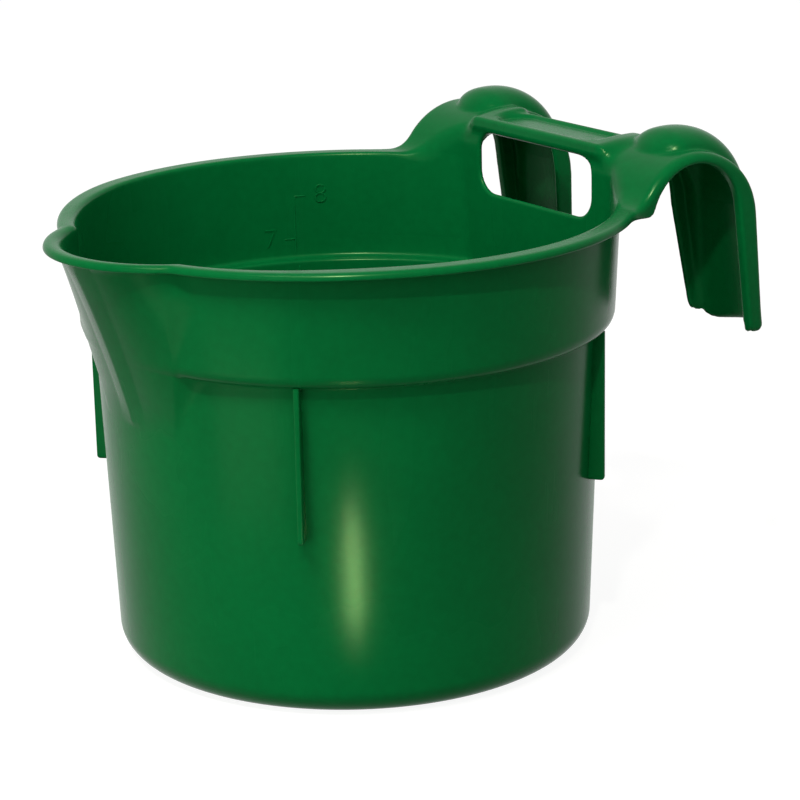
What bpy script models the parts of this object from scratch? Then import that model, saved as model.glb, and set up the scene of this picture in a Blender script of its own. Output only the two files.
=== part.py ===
"""Hanging feed trough: a round feed bucket with a pouring spout and two over-rail hooks.

The real article is one plastic moulding. This model divides it along its own moulded
features, each a closed solid, with a hair of clearance between neighbours.
Metres, +Z up. The origin is the centre of the underside, the hooks are at +Y and the
spout is at -Y. X = 0 is the plane of symmetry.
"""
import math

import bmesh
import bpy
import numpy as np

# Clearance between two neighbouring features
GAP = 0.0003

# Pot. The radius of the band's top drives the widths of the whole part.
RIM_HEIGHT = 0.2085
WALL = 0.0028
BAND_TOP_RADIUS = 0.1268
BAND_DEPTH = 0.0538
BAND_TAPER = 0.0026
BAND_ROUND = 0.0050
BAND_LOW_RADIUS = BAND_TOP_RADIUS - BAND_TAPER
LEDGE_THICK = 0.0016
LEDGE_WIDTH = 0.0062
LOWER_TOP_RADIUS = BAND_LOW_RADIUS - LEDGE_WIDTH
LOWER_TAPER = 0.0053
BASE_RADIUS = LOWER_TOP_RADIUS - LOWER_TAPER
BASE_ROUND = 0.0127
BACK_CUT = 0.0148
BACK_FLAT = BAND_TOP_RADIUS - BACK_CUT
FLAT_BLEND = 0.0016

# Rim flange, which is lower and narrower round the spout
RIM_FLANGE = 0.0073
RIM_RADIUS = BAND_TOP_RADIUS + RIM_FLANGE
RIM_THICK = 0.0034
RIM_EDGE_ROUND = 0.0018
FRONT_DIP = 0.0011
FRONT_NARROW = 0.0014
MOUTH_WIDEN = 0.0022
FRONT_FROM_ANGLE = 65.0
FRONT_FULL_ANGLE = 25.0

# Pouring spout
SPOUT_OUT = 0.0156
SPOUT_REACH = RIM_RADIUS + SPOUT_OUT
SPOUT_NOSE_RADIUS = 0.0590
SPOUT_NOSE_SPREAD = 0.90
SPOUT_FLANGE = 0.0045
SPOUT_TIP_SLOPE = 0.448
SPOUT_TIP_CURVE = -1.12
SPOUT_FLANK_WIDER = 0.0263
SPOUT_FLANK_SUM = SPOUT_REACH + SPOUT_FLANK_WIDER
SPOUT_FLANK_SLOPE = 0.146
SPOUT_FLANK_CURVE = 2.24
SPOUT_DEPTH = 0.0840
SPOUT_HALF_ANGLE = 31.0
SPOUT_BLEND = 0.0012

# Back panel, with its hand hole
PANEL_HALF_ANGLE = 25.0
WINDOW_HALF_WIDTH = 0.0432
WINDOW_DEPTH = 0.0153
WINDOW_CORNER = 0.0110

# Over-rail hooks, placed from the flat back and from the rim
HOOK_WIDTH = 0.0518
HOOK_OUTER_SHORT = 0.0380
HOOK_OUTER_X = RIM_RADIUS - HOOK_OUTER_SHORT
HOOK_INNER_X = HOOK_OUTER_X - HOOK_WIDTH
HOOK_CENTRE_X = (HOOK_OUTER_X + HOOK_INNER_X) / 2
HOOK_FOOT_SHIFT = 0.0025
HOOK_FOOT_CENTRE_X = HOOK_CENTRE_X + HOOK_FOOT_SHIFT
HOOK_FOOT_WIDTH = 0.0450
HOOK_WEB = 0.0030
EAR_BACK_Y = BACK_FLAT + 0.0025
ARCH_RADIUS = 0.0362
ARCH_OUT = 0.0203
ARCH_CENTRE_Y = BACK_FLAT + ARCH_OUT
ARCH_DROP = 0.0146
ARCH_FILLET = 0.0080
LEG_SPLAY = 0.100
LEG_BOTTOM_DROP = 0.0696
FOOT_ROUND = 0.0090
LIP_DEPTH = 0.0085
LIP_WIDTH = 0.0046
LIP_SHELF_DROP = 0.0045
HUMP_SHIFT_Y = 0.0061
HUMP_SHIFT_Z = 0.0082
HUMP_HALF_WIDTH = 0.0178
HUMP_NOSE = 0.0135

# Grip bar, from the flat back towards the rail
BAR_FRONT_Y = BACK_FLAT - 0.0025
BAR_WIDTH = 0.0271
BAR_BACK_Y = BAR_FRONT_Y + BAR_WIDTH
BAR_TOP = 0.0212
BAR_THICK = 0.0050
BAR_EDGE_ROUND = 0.0014
TROUGH_END_LEFT = 0.0063
TROUGH_HALF_LENGTH = HOOK_INNER_X - TROUGH_END_LEFT
TROUGH_HALF_WIDTH = 0.0092
TROUGH_DEPTH = 0.0020

# Stacking ribs
RIB_THICK = 0.0028
RIB_PROUD = 0.0048
RIB_TIP_RADIUS = LOWER_TOP_RADIUS + RIB_PROUD
RIB_BOTTOM_DROP = 0.1225
RIB_ANGLES = {
    "rear_right": 38.0,
    "rear_left": 142.0,
    "front_left": 229.3,
    "front_right": 315.6,
}

# Raised quart scale inside the pot
SCALE_ANGLE = 158.6
SCALE_TOP_DROP = 0.0213
SCALE_PITCH = 0.0217
SCALE_MARKS = 8
SCALE_LINE = 0.0009
SCALE_TICK = 0.0056
SCALE_PROUD = 0.0005

# Heights and a radius that follow from the sizes above
BAND_BOTTOM = RIM_HEIGHT - BAND_DEPTH
RIM_UNDERSIDE = RIM_HEIGHT - RIM_THICK
ARCH_CENTRE_Z = RIM_HEIGHT - ARCH_DROP
LEG_BOTTOM = RIM_HEIGHT - LEG_BOTTOM_DROP
WALL_INNER_TOP_RADIUS = BAND_TOP_RADIUS - WALL

# Fineness of the facets
RING_STEP = 4.0
SPOUT_STEP = 2.6
ARCH_STEPS = 12
EAR_STEPS = 9
EAR_WALL_STEP = 1.5


def clear_scene():
    """Remove every object of the scene."""
    for old in list(bpy.data.objects):
        bpy.data.objects.remove(old, do_unlink=True)


def plastic(name, colour, roughness=0.38):
    """Moulded polyethylene of one colour."""
    material = bpy.data.materials.new(name)
    material.use_nodes = True
    shader = material.node_tree.nodes["Principled BSDF"]
    shader.inputs["Base Color"].default_value = (*colour, 1.0)
    shader.inputs["Roughness"].default_value = roughness
    shader.inputs["Metallic"].default_value = 0.0
    material.diffuse_color = (*colour, 1.0)
    return material


def make_object(name, mesh, colour):
    """Put a finished mesh into the scene under its own name, with its own material."""
    mesh.shade_smooth()
    mesh.set_sharp_from_angle(angle=math.radians(35))
    mesh.materials.append(plastic(name + "_plastic", colour))
    piece = bpy.data.objects.new(name, mesh)
    bpy.context.scene.collection.objects.link(piece)
    return piece


def mesh_of(name, points, faces):
    """A mesh whose faces all point outwards."""
    mesh = bpy.data.meshes.new(name)
    mesh.from_pydata([tuple(point) for point in points], [], faces)
    shape = bmesh.new()
    shape.from_mesh(mesh)
    bmesh.ops.recalc_face_normals(shape, faces=shape.faces)
    shape.to_mesh(mesh)
    shape.free()
    return mesh


def swept_mesh(name, stations, closed=False):
    """A solid from a row of closed section loops, an array of stations x loop x 3.

    Neighbouring loops are joined by quads. An open row is closed by its two end loops.
    """
    count, loop = stations.shape[:2]
    faces = []
    for i in range(count if closed else count - 1):
        j = (i + 1) % count
        for k in range(loop):
            m = (k + 1) % loop
            faces.append((i * loop + k, i * loop + m, j * loop + m, j * loop + k))
    if not closed:
        faces.append(tuple(range(loop)))
        faces.append(tuple((count - 1) * loop + k for k in range(loop)))
    return mesh_of(name, stations.reshape(-1, 3), faces)


def extruded_mesh(name, outline, low, high, place):
    """A prism over an outline of (u, v) points; place(u, v, w) gives a point in space."""
    ends = [[place(u, v, w) for u, v in outline] for w in (low, high)]
    return swept_mesh(name, np.array(ends))


def cut(piece, cutter_mesh):
    """Subtract a closed mesh from a piece."""
    cutter = bpy.data.objects.new(piece.name + "_cutter", cutter_mesh)
    bpy.context.scene.collection.objects.link(cutter)
    cutter.hide_render = True
    cutter.display_type = "WIRE"
    opening = piece.modifiers.new("opening", "BOOLEAN")
    opening.operation = "DIFFERENCE"
    opening.solver = "EXACT"
    opening.object = cutter


def arc_points(centre, radius, start, end, steps):
    """Points on an arc in a plane, angles in degrees."""
    angles = np.radians(np.linspace(start, end, steps + 1))
    return [(centre[0] + radius * math.cos(a), centre[1] + radius * math.sin(a)) for a in angles]


def blend_min(a, b, width):
    """The smaller of two lengths, rounded where they are within width of each other."""
    share = np.clip(0.5 + 0.5 * (b - a) / width, 0.0, 1.0)
    return b * (1 - share) + a * share - width * share * (1 - share)


def blend_max(a, b, width):
    """The larger of two lengths, rounded where they are within width of each other."""
    return -blend_min(-a, -b, width)


def spout_radius(off_tip, drop, inset):
    """Distance from the pot's axis to the spout, off_tip radians from the tip's direction.

    In plan the spout is a round nose between two 45 degree flanks. With the drop below
    the rim the nose draws in and grows blunter, and the flanks draw in faster and faster.
    The inset is the distance from the edge of the rim to the surface asked for.
    """
    off_tip = np.abs(off_tip)
    tip = SPOUT_REACH - inset - SPOUT_TIP_SLOPE * drop - SPOUT_TIP_CURVE * drop ** 2
    nose = SPOUT_NOSE_RADIUS - inset + SPOUT_NOSE_SPREAD * drop
    centre = tip - nose
    reach = nose ** 2 - (centre * np.sin(off_tip)) ** 2
    nose_hit = centre * np.cos(off_tip) + np.sqrt(np.maximum(reach, 0.0))
    flank = SPOUT_FLANK_SUM - inset * math.sqrt(2) - SPOUT_FLANK_SLOPE * drop
    flank = flank - SPOUT_FLANK_CURVE * drop ** 2
    flank_hit = flank / (np.sin(off_tip) + np.cos(off_tip))
    hit = np.minimum(nose_hit, flank_hit)
    inside = (off_tip < math.radians(SPOUT_HALF_ANGLE - 1)) & (drop < SPOUT_DEPTH)
    return np.where(inside, hit, 0.0)


def plan_radius(angle, radius, height, inset, flat):
    """A round radius, drawn out at the spout and cut straight at the flat back.

    The angle is in radians from +X. The flat is the distance of the straight back.
    """
    drop = max(RIM_HEIGHT - height, 0.0)
    off_tip = (angle + math.pi / 2 + math.pi) % (2 * math.pi) - math.pi
    radius = blend_max(radius, spout_radius(off_tip, drop, inset), SPOUT_BLEND)
    back = math.sin(angle)
    if back > 0.3:
        radius = blend_min(radius, flat / back, FLAT_BLEND)
    return float(radius)


def ring_stations(angles, section):
    """Section loops at each angle in degrees; section(angle) gives (radius, height) pairs."""
    stations = []
    for degrees in angles:
        a = math.radians(degrees)
        loop = [(r * math.cos(a), r * math.sin(a), z) for r, z in section(a)]
        stations.append(loop)
    return np.array(stations)


def angle_row(start, end, step):
    """Angles from start to end in even steps no wider than step."""
    steps = max(1, math.ceil(abs(end - start) / step - 1e-9))
    return list(np.linspace(start, end, steps + 1))


def around(start, end):
    """Angles from start to end, closer together across the spout at -90 degrees."""
    row = []
    marks = sorted({start, -90 - SPOUT_HALF_ANGLE, -90 + SPOUT_HALF_ANGLE, end})
    marks = [mark for mark in marks if start <= mark <= end]
    for low, high in zip(marks, marks[1:]):
        at_spout = abs((low + high) / 2 + 90) < SPOUT_HALF_ANGLE
        row += angle_row(low, high, SPOUT_STEP if at_spout else RING_STEP)[:-1]
    return row + [end]


def lower_radius(height):
    """Outer radius of the tapered lower wall."""
    share = (height - BASE_ROUND) / (BAND_BOTTOM - BASE_ROUND)
    return BASE_RADIUS + (LOWER_TOP_RADIUS - BASE_RADIUS) * share


def band_radius(height):
    """Outer radius of the tapered upper band."""
    share = min((height - BAND_BOTTOM) / BAND_DEPTH, 1.0)
    return BAND_LOW_RADIUS + (BAND_TOP_RADIUS - BAND_LOW_RADIUS) * share


def front_share(angle):
    """How far the rim has gone over to its front shape: 0 at the sides, 1 at the spout."""
    off_tip = abs((math.degrees(angle) + 90 + 180) % 360 - 180)
    share = (FRONT_FROM_ANGLE - off_tip) / (FRONT_FROM_ANGLE - FRONT_FULL_ANGLE)
    share = min(max(share, 0.0), 1.0)
    return share * share * (3 - 2 * share)


def wall_top(angle, depth):
    """Height of the band's upper edge, under the flange or under the saddle of an ear."""
    if math.degrees(angle) <= ear_start_angle() + 1e-6:
        return RIM_UNDERSIDE - GAP - FRONT_DIP * front_share(angle)
    radius, height = wall_point(angle, BAND_TOP_RADIUS, RIM_HEIGHT, depth)
    return arch_profile(radius * math.sin(angle)) - HOOK_WEB - GAP


def wall_point(angle, radius, height, depth):
    """A point of the wall at a depth below its outer surface."""
    inset = SPOUT_FLANGE + depth
    return plan_radius(angle, radius - depth, height, inset, BACK_FLAT - depth), height


def base_floor():
    """Round flat floor of the pot."""
    radius = BASE_RADIUS - BASE_ROUND - GAP / 2
    outline = arc_points((0.0, 0.0), radius, -180, 180, round(360 / RING_STEP))[:-1]
    mesh = extruded_mesh("base_floor", outline, 0.0, WALL, lambda u, v, w: (u, v, w))
    make_object("base_floor", mesh, (0.0, 0.13, 0.05))


def base_corner():
    """Rounded lower edge, a quarter round turned about the axis and cut by the flat back."""
    centre = (BASE_RADIUS - BASE_ROUND, BASE_ROUND)
    outer = arc_points(centre, BASE_ROUND, -90, 0, 5)
    inner = arc_points(centre, BASE_ROUND - WALL, 0, -90, 4)
    outer[0] = (outer[0][0] + GAP / 2, outer[0][1])
    inner[-1] = (inner[-1][0] + GAP / 2, inner[-1][1])

    def section(angle):
        back = math.sin(angle)
        flat = BACK_FLAT / back if back > 0.3 else 1.0
        return [(float(blend_min(r, flat, FLAT_BLEND)), z) for r, z in outer + inner]

    stations = ring_stations(around(-180, 180)[:-1], section)
    mesh = swept_mesh("base_corner", stations, True)
    make_object("base_corner", mesh, (0.0, 0.13, 0.05))


def lower_wall():
    """Tapered wall between the base and the band, with the foot of the spout."""
    bottom = BASE_ROUND + GAP
    top = BAND_BOTTOM - GAP
    foot = RIM_HEIGHT - SPOUT_DEPTH
    heights = [bottom, foot - 0.004] + list(np.linspace(foot, top, 6))

    def section(angle):
        outer = [wall_point(angle, lower_radius(z), z, 0.0) for z in heights]
        inner = [wall_point(angle, lower_radius(z), z, WALL) for z in reversed(heights)]
        return outer + inner

    stations = ring_stations(around(-180, 180)[:-1], section)
    make_object("lower_wall", swept_mesh("lower_wall", stations, True), (0.0, 0.14, 0.05))


def band_section(angle):
    """Loop of the upper band: its ledge, rounded lower corner and tapered wall."""
    top = wall_top(angle, 0.0)
    inner_top = wall_top(angle, WALL)
    ledge = BAND_BOTTOM
    corner = BAND_ROUND
    inner_corner = BAND_ROUND - WALL / 2
    low = band_radius(ledge)
    ledge_start = lower_radius(ledge)
    straight = RIM_UNDERSIDE - ledge - corner
    middle = [ledge + corner + straight * share for share in (0.3, 0.6, 0.8)]
    outer = [(ledge_start, ledge), (low - corner, ledge)]
    outer += arc_points((low - corner, ledge + corner), corner, -60, 0, 3)
    outer += [(band_radius(z), z) for z in middle + [top]]
    loop = [wall_point(angle, r, z, 0.0) for r, z in outer]
    floor = ledge + LEDGE_THICK
    inner = [(band_radius(z), z) for z in [inner_top] + middle[::-1] + [floor + inner_corner]]
    inner += [(low - inner_corner, floor)]
    inner += [(ledge_start, floor)]
    loop += [wall_point(angle, r, z, WALL) for r, z in inner]
    loop.append(wall_point(angle, ledge_start, ledge, WALL))
    return loop


def upper_band():
    """Left and right halves of the wider band, from the spout to the back panel."""
    half_gap = math.degrees(GAP / LOWER_TOP_RADIUS) / 2
    start = -90 + SPOUT_HALF_ANGLE + half_gap
    end = 90 - PANEL_HALF_ANGLE - half_gap
    ear = ear_start_angle()
    angles = angle_row(start, ear, RING_STEP) + angle_row(ear + half_gap, end, EAR_WALL_STEP)
    stations = ring_stations(angles, band_section)
    make_object("band_right", swept_mesh("band_right", stations), (0.0, 0.17, 0.06))
    mirrored = stations * np.array([-1.0, 1.0, 1.0])
    make_object("band_left", swept_mesh("band_left", mirrored), (0.0, 0.17, 0.06))


def pour_spout():
    """The part of the band that is drawn out to the pouring spout."""
    half_gap = math.degrees(GAP / LOWER_TOP_RADIUS) / 2
    half = SPOUT_HALF_ANGLE - half_gap
    stations = ring_stations(angle_row(-90 - half, -90 + half, SPOUT_STEP), band_section)
    make_object("pour_spout", swept_mesh("pour_spout", stations), (0.0, 0.20, 0.07))


def rim_outline(angle, inset):
    """Distance from the axis to the rim's outer edge, less an inset."""
    radius = RIM_RADIUS - FRONT_NARROW * front_share(angle) - inset
    return plan_radius(angle, radius, RIM_HEIGHT, inset, 1.0)


def rim_section(angle):
    """Loop of the flat flange, rounded along its outer edge and eased along the inner."""
    edge = RIM_EDGE_ROUND
    mouth = RIM_RADIUS - BAND_TOP_RADIUS + WALL - MOUTH_WIDEN * front_share(angle)
    outer = [(0.0, RIM_UNDERSIDE), (0.0, RIM_HEIGHT - edge), (edge * 0.3, RIM_HEIGHT - edge * 0.3)]
    top = [(edge, RIM_HEIGHT), (mouth - edge, RIM_HEIGHT)]
    inner = [(mouth - edge * 0.3, RIM_HEIGHT - edge * 0.3), (mouth, RIM_HEIGHT - edge)]
    inner += [(mouth, RIM_UNDERSIDE)]
    dip = FRONT_DIP * front_share(angle)
    return [(rim_outline(angle, inset), z - dip) for inset, z in outer + top + inner]


def ear_start_angle():
    """Polar angle at which the rim's outer edge runs into the outer side of a hook."""
    return math.degrees(math.acos(HOOK_OUTER_X / RIM_RADIUS))


def rim_flange():
    """Rolled flange round the mouth and the spout, from one ear to the other."""
    end = ear_start_angle() - math.degrees(GAP / BAND_TOP_RADIUS)
    stations = ring_stations(around(-180 - end, end), rim_section)
    make_object("rim_flange", swept_mesh("rim_flange", stations), (0.0, 0.22, 0.08))


def arch_profile(y):
    """Height of the hook's outer surface over the ear and the front of the arch."""
    run = math.sqrt((ARCH_RADIUS + ARCH_FILLET) ** 2 - (ARCH_FILLET + ARCH_DROP) ** 2)
    fillet_y = ARCH_CENTRE_Y - run
    touch_y = ARCH_CENTRE_Y - run * ARCH_RADIUS / (ARCH_RADIUS + ARCH_FILLET)
    if y <= fillet_y:
        return RIM_HEIGHT
    if y <= touch_y:
        rise = ARCH_FILLET - math.sqrt(ARCH_FILLET ** 2 - (y - fillet_y) ** 2)
        return RIM_HEIGHT + rise
    return ARCH_CENTRE_Z + math.sqrt(ARCH_RADIUS ** 2 - (y - ARCH_CENTRE_Y) ** 2)


def back_panel():
    """Flat back with the hand hole; its two posts carry the ears."""
    inner = BACK_FLAT - WALL
    slope = math.tan(math.radians(PANEL_HALF_ANGLE))
    plan = [(-inner * slope, inner), (inner * slope, inner)]
    plan += [(BACK_FLAT * slope, BACK_FLAT), (-BACK_FLAT * slope, BACK_FLAT)]
    top = arch_profile(inner) - HOOK_WEB - GAP
    mesh = extruded_mesh("back_panel", plan, BAND_BOTTOM, top, lambda u, v, w: (u, v, w))
    panel = make_object("back_panel", mesh, (0.0, 0.18, 0.06))
    low = RIM_HEIGHT - WINDOW_DEPTH
    high = top + WINDOW_CORNER
    corner = WINDOW_CORNER
    side = WINDOW_HALF_WIDTH - corner
    outline = arc_points((-side, low + corner), corner, 180, 270, 5)
    outline += arc_points((side, low + corner), corner, 270, 360, 5)
    outline += [(WINDOW_HALF_WIDTH, high), (-WINDOW_HALF_WIDTH, high)]
    cutter = extruded_mesh("window_cutter", outline, inner - WALL, BACK_FLAT + WALL,
                           lambda u, v, w: (u, w, v))
    cut(panel, cutter)


def ear_rows():
    """Distances behind the axis at which the ear and its lip have their cross sections."""
    front_flat = BACK_FLAT - WALL
    start = RIM_RADIUS * math.sin(math.radians(ear_start_angle()))
    rows = list(np.linspace(start, front_flat - GAP, EAR_STEPS))
    return rows + [front_flat, EAR_BACK_Y]


def ear_stations():
    """Cross sections of the right ear, each a flat strip from the mouth to the edge."""
    front_flat = BACK_FLAT - WALL
    tangent = math.tan(math.radians(ear_start_angle()))
    first = WALL_INNER_TOP_RADIUS * math.sin(math.radians(ear_start_angle())) + GAP
    rows = ear_rows()
    rows = [first, (first + rows[0]) / 2] + rows
    loops = []
    for y in rows:
        low = HOOK_INNER_X
        if y < front_flat:
            low = math.sqrt(WALL_INNER_TOP_RADIUS ** 2 - y ** 2)
        high = min(HOOK_OUTER_X, y / tangent)
        top = arch_profile(y)
        loops.append([(low, y, top), (high, y, top), (high, y, top - HOOK_WEB),
                      (low, y, top - HOOK_WEB)])
    return np.array(loops)


def ears():
    """Saddles that rise from the rim into the hooks."""
    stations = ear_stations()
    make_object("ear_right", swept_mesh("ear_right", stations), (0.0, 0.24, 0.09))
    mirrored = stations * np.array([-1.0, 1.0, 1.0])
    make_object("ear_left", swept_mesh("ear_left", mirrored), (0.0, 0.24, 0.09))


def hook_path(start_y, depth=0.0):
    """Stations along the hook: (y, z, normal_y, normal_z) over the arch and down the leg."""
    splay = math.atan(LEG_SPLAY)
    radius = ARCH_RADIUS - depth
    start = math.acos((start_y - ARCH_CENTRE_Y) / radius)
    path = []
    for a in np.linspace(start, splay, ARCH_STEPS + 1):
        ny, nz = math.cos(a), math.sin(a)
        path.append((ARCH_CENTRE_Y + radius * ny, ARCH_CENTRE_Z + radius * nz, ny, nz))
    y, z, ny, nz = path[-1]
    for share in (0.5, 1.0):
        foot = z + (LEG_BOTTOM - z) * share
        path.append((y + (z - foot) * LEG_SPLAY, foot, ny, nz))
    return path


def hook_x(across, z):
    """X of a point across the hook; the leg draws in and leans out towards its foot."""
    share = min(max((ARCH_CENTRE_Z - z) / (ARCH_CENTRE_Z - LEG_BOTTOM), 0.0), 1.0)
    centre = HOOK_CENTRE_X + (HOOK_FOOT_CENTRE_X - HOOK_CENTRE_X) * share
    width = HOOK_WIDTH + (HOOK_FOOT_WIDTH - HOOK_WIDTH) * share
    return centre + across * width / HOOK_WIDTH


def hump_height(y, z, ny, nz):
    """Rise of the hump over the strap at one station, with a round nose in front."""
    full = HUMP_SHIFT_Y * ny + HUMP_SHIFT_Z * nz
    nose_start = EAR_BACK_Y + GAP
    if y < nose_start + HUMP_NOSE and z > RIM_HEIGHT:
        back = 1 - (y - nose_start) / HUMP_NOSE
        full *= math.sqrt(max(0.0, 1 - back * back))
    return max(full, 0.0)


def hook_sweep(path, section):
    """Sweep section(station), a loop of (across, depth) pairs, along a hook path."""
    stations = []
    for y, z, ny, nz in path:
        loop = []
        for across, depth in section((y, z, ny, nz)):
            pz = z - nz * depth
            loop.append((hook_x(across, pz), y - ny * depth, pz))
        stations.append(loop)
    return np.array(stations)


def crown_section(station):
    """Raised channel along the middle of the strap, round above and hollow below."""
    rise = hump_height(*station)
    edge = HUMP_HALF_WIDTH
    hollow = edge - HOOK_WEB * 0.8
    across = [edge * math.sin(a) for a in np.radians(np.linspace(-90, 90, 9))]
    outer = [(x, -rise * math.sqrt(max(0.0, 1 - (x / edge) ** 2))) for x in across]
    inner_rise = max(rise - 0.0006, 0.0)
    inner_across = [hollow * math.sin(a) for a in np.radians(np.linspace(90, -90, 9))]
    inner = [(x, HOOK_WEB - inner_rise * math.sqrt(max(0.0, 1 - (x / hollow) ** 2)))
             for x in inner_across]
    return outer + [(edge, HOOK_WEB)] + inner + [(-edge, HOOK_WEB)]


def flange_section(side):
    """L section of the strap's edge: flat web and a lip turned down; side is +1 or -1."""
    start = HUMP_HALF_WIDTH + GAP
    end = HOOK_WIDTH / 2
    lip_in = end - LIP_WIDTH
    loop = [(start, 0.0), (end - 0.0016, 0.0), (end, 0.0016), (end, LIP_DEPTH - 0.001)]
    loop += [(end - 0.001, LIP_DEPTH), (lip_in + 0.001, LIP_DEPTH), (lip_in, LIP_DEPTH - 0.001)]
    loop += [(lip_in, HOOK_WEB), (start, HOOK_WEB)]
    return [(side * across, depth) for across, depth in loop]


def foot_corner(name, side):
    """What has to come off a hook's foot to leave its inner lower corner round."""
    inner = HOOK_FOOT_CENTRE_X - HOOK_FOOT_WIDTH / 2
    lean = (inner - HOOK_INNER_X) / (ARCH_CENTRE_Z - LEG_BOTTOM)
    turn = math.atan(lean)
    radius = FOOT_ROUND
    centre = (inner + radius / math.cos(turn) - lean * radius, LEG_BOTTOM + radius)
    outline = arc_points(centre, radius, 180 + math.degrees(turn), 270, 6)
    outline += [(centre[0], LEG_BOTTOM - 0.004), (inner - 0.006, LEG_BOTTOM - 0.004)]
    outline += [(inner - 0.006, centre[1])]
    return extruded_mesh(name, outline, ARCH_CENTRE_Y, ARCH_CENTRE_Y + 2 * ARCH_RADIUS,
                         lambda u, v, w: (side * u, w, v))


def hooks():
    """Two hooks, each a raised crown between an outer and an inner flange."""
    path = hook_path(EAR_BACK_Y + GAP)
    parts = {
        "hook_crown": hook_sweep(path, crown_section),
        "hook_outer_flange": hook_sweep(path, lambda station: flange_section(1)),
        "hook_inner_flange": hook_sweep(path, lambda station: flange_section(-1)),
    }
    for kind, stations in parts.items():
        for side, hand in ((1, "right"), (-1, "left")):
            name = kind + "_" + hand
            mirrored = stations * np.array([side, 1.0, 1.0])
            piece = make_object(name, swept_mesh(name, mirrored), (0.0, 0.26, 0.10))
            if kind != "hook_outer_flange":
                cut(piece, foot_corner(name + "_corner", side))


def ear_lips():
    """Turned-down edge under each ear, from the rim's end to the hook's outer flange."""
    rows = ear_rows()
    shelf = RIM_HEIGHT - LIP_SHELF_DROP
    radius = ARCH_RADIUS - LIP_DEPTH
    end_a = math.acos((EAR_BACK_Y - ARCH_CENTRE_Y) / ARCH_RADIUS)
    kink_a = math.pi - math.asin((shelf - ARCH_CENTRE_Z) / radius)
    outline = [(y, arch_profile(y) - HOOK_WEB - GAP) for y in rows]
    lower = arc_points((ARCH_CENTRE_Y, ARCH_CENTRE_Z), radius, math.degrees(end_a),
                       math.degrees(kink_a), 4)
    outline += lower + [(rows[0], shelf)]
    for side, name in ((1, "ear_lip_right"), (-1, "ear_lip_left")):
        mesh = extruded_mesh(name, outline, side * (HOOK_OUTER_X - LIP_WIDTH),
                             side * HOOK_OUTER_X, lambda u, v, w: (w, u, v))
        make_object(name, mesh, (0.0, 0.22, 0.08))


def grip_bar():
    """Straight bar between the ears, with a shallow trough along its top."""
    top = RIM_HEIGHT + BAR_TOP
    low = top - BAR_THICK
    edge = BAR_EDGE_ROUND
    outline = [(BAR_FRONT_Y, low)]
    outline += arc_points((BAR_FRONT_Y + edge, top - edge), edge, 180, 90, 3)
    outline += arc_points((BAR_BACK_Y - edge, top - edge), edge, 90, 0, 3)
    outline += [(BAR_BACK_Y, low)]
    half = HOOK_INNER_X - GAP
    mesh = extruded_mesh("grip_bar", outline, -half, half, lambda u, v, w: (w, u, v))
    bar = make_object("grip_bar", mesh, (0.0, 0.24, 0.09))
    middle = (BAR_FRONT_Y + BAR_BACK_Y) / 2
    straight = TROUGH_HALF_LENGTH - TROUGH_HALF_WIDTH
    slot = arc_points((straight, middle), TROUGH_HALF_WIDTH, -90, 90, 6)
    slot += arc_points((-straight, middle), TROUGH_HALF_WIDTH, 90, 270, 6)
    cutter = extruded_mesh("trough_cutter", slot, top - TROUGH_DEPTH, top + TROUGH_DEPTH,
                           lambda u, v, w: (u, v, w))
    cut(bar, cutter)


def rib(name, degrees):
    """Upright fin under the band, on the lower wall."""
    top = BAND_BOTTOM - GAP
    bottom = RIM_HEIGHT - RIB_BOTTOM_DROP
    a = math.radians(degrees)
    along = np.array([math.cos(a), math.sin(a), 0.0])
    across = np.array([-math.sin(a), math.cos(a), 0.0]) * RIB_THICK / 2
    side = [(lower_radius(top) + GAP, top), (lower_radius(bottom) + GAP, bottom)]
    side += [(RIB_TIP_RADIUS - 0.0012, bottom), (RIB_TIP_RADIUS, bottom + 0.0012)]
    side += [(RIB_TIP_RADIUS, top)]
    faces = []
    for sign in (-1, 1):
        faces.append([along * r + across * sign + np.array([0.0, 0.0, z]) for r, z in side])
    make_object(name, swept_mesh(name, np.array(faces)), (0.0, 0.18, 0.06))


def ribs():
    """Four stacking ribs on the lower wall."""
    for place, degrees in RIB_ANGLES.items():
        rib("rib_" + place, degrees)


def scale_comb(name, marks, low, high, radius_of):
    """One raised comb on the inside of the wall: an upright line with its ticks.

    marks are (height, side) pairs; side is +1 or -1, the way that a tick points.
    """
    thin = SCALE_LINE / 2
    edges = {}
    for side in (1, -1):
        line = [(side * thin, low)]
        for height, way in sorted(marks):
            if way != side:
                continue
            reach = side * (thin + SCALE_TICK)
            tick = [(side * thin, height - thin), (reach, height - thin)]
            tick += [(reach, height + thin), (side * thin, height + thin)]
            line += [point for point in tick if low < point[1] < high or point[0] == reach]
        line.append((side * thin, high))
        edges[side] = line
    outline = edges[1] + edges[-1][::-1]
    inner = LOWER_TOP_RADIUS - WALL
    middle = math.radians(SCALE_ANGLE)

    def place(u, v, w):
        a = middle + u / inner
        r = radius_of(v) - WALL - GAP - w
        return r * math.cos(a), r * math.sin(a), v

    mesh = extruded_mesh(name, outline, 0.0, SCALE_PROUD, place)
    make_object(name, mesh, (0.01, 0.26, 0.10))


def quart_scale():
    """Raised quart scale: one comb on the band and one on the lower wall."""
    thin = SCALE_LINE / 2
    marks = [(RIM_HEIGHT - SCALE_TOP_DROP - SCALE_PITCH * i, -1 if i % 2 == 0 else 1)
             for i in range(SCALE_MARKS)]
    band_foot = BAND_BOTTOM + BAND_ROUND + WALL
    band_marks = [mark for mark in marks if mark[0] > band_foot]
    lower_marks = [mark for mark in marks if mark[0] < BAND_BOTTOM]
    scale_comb("quart_scale_band", band_marks, band_foot, marks[0][0] + thin, band_radius)
    scale_comb("quart_scale_lower", lower_marks, marks[-1][0] - thin, BAND_BOTTOM - GAP,
               lower_radius)


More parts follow.
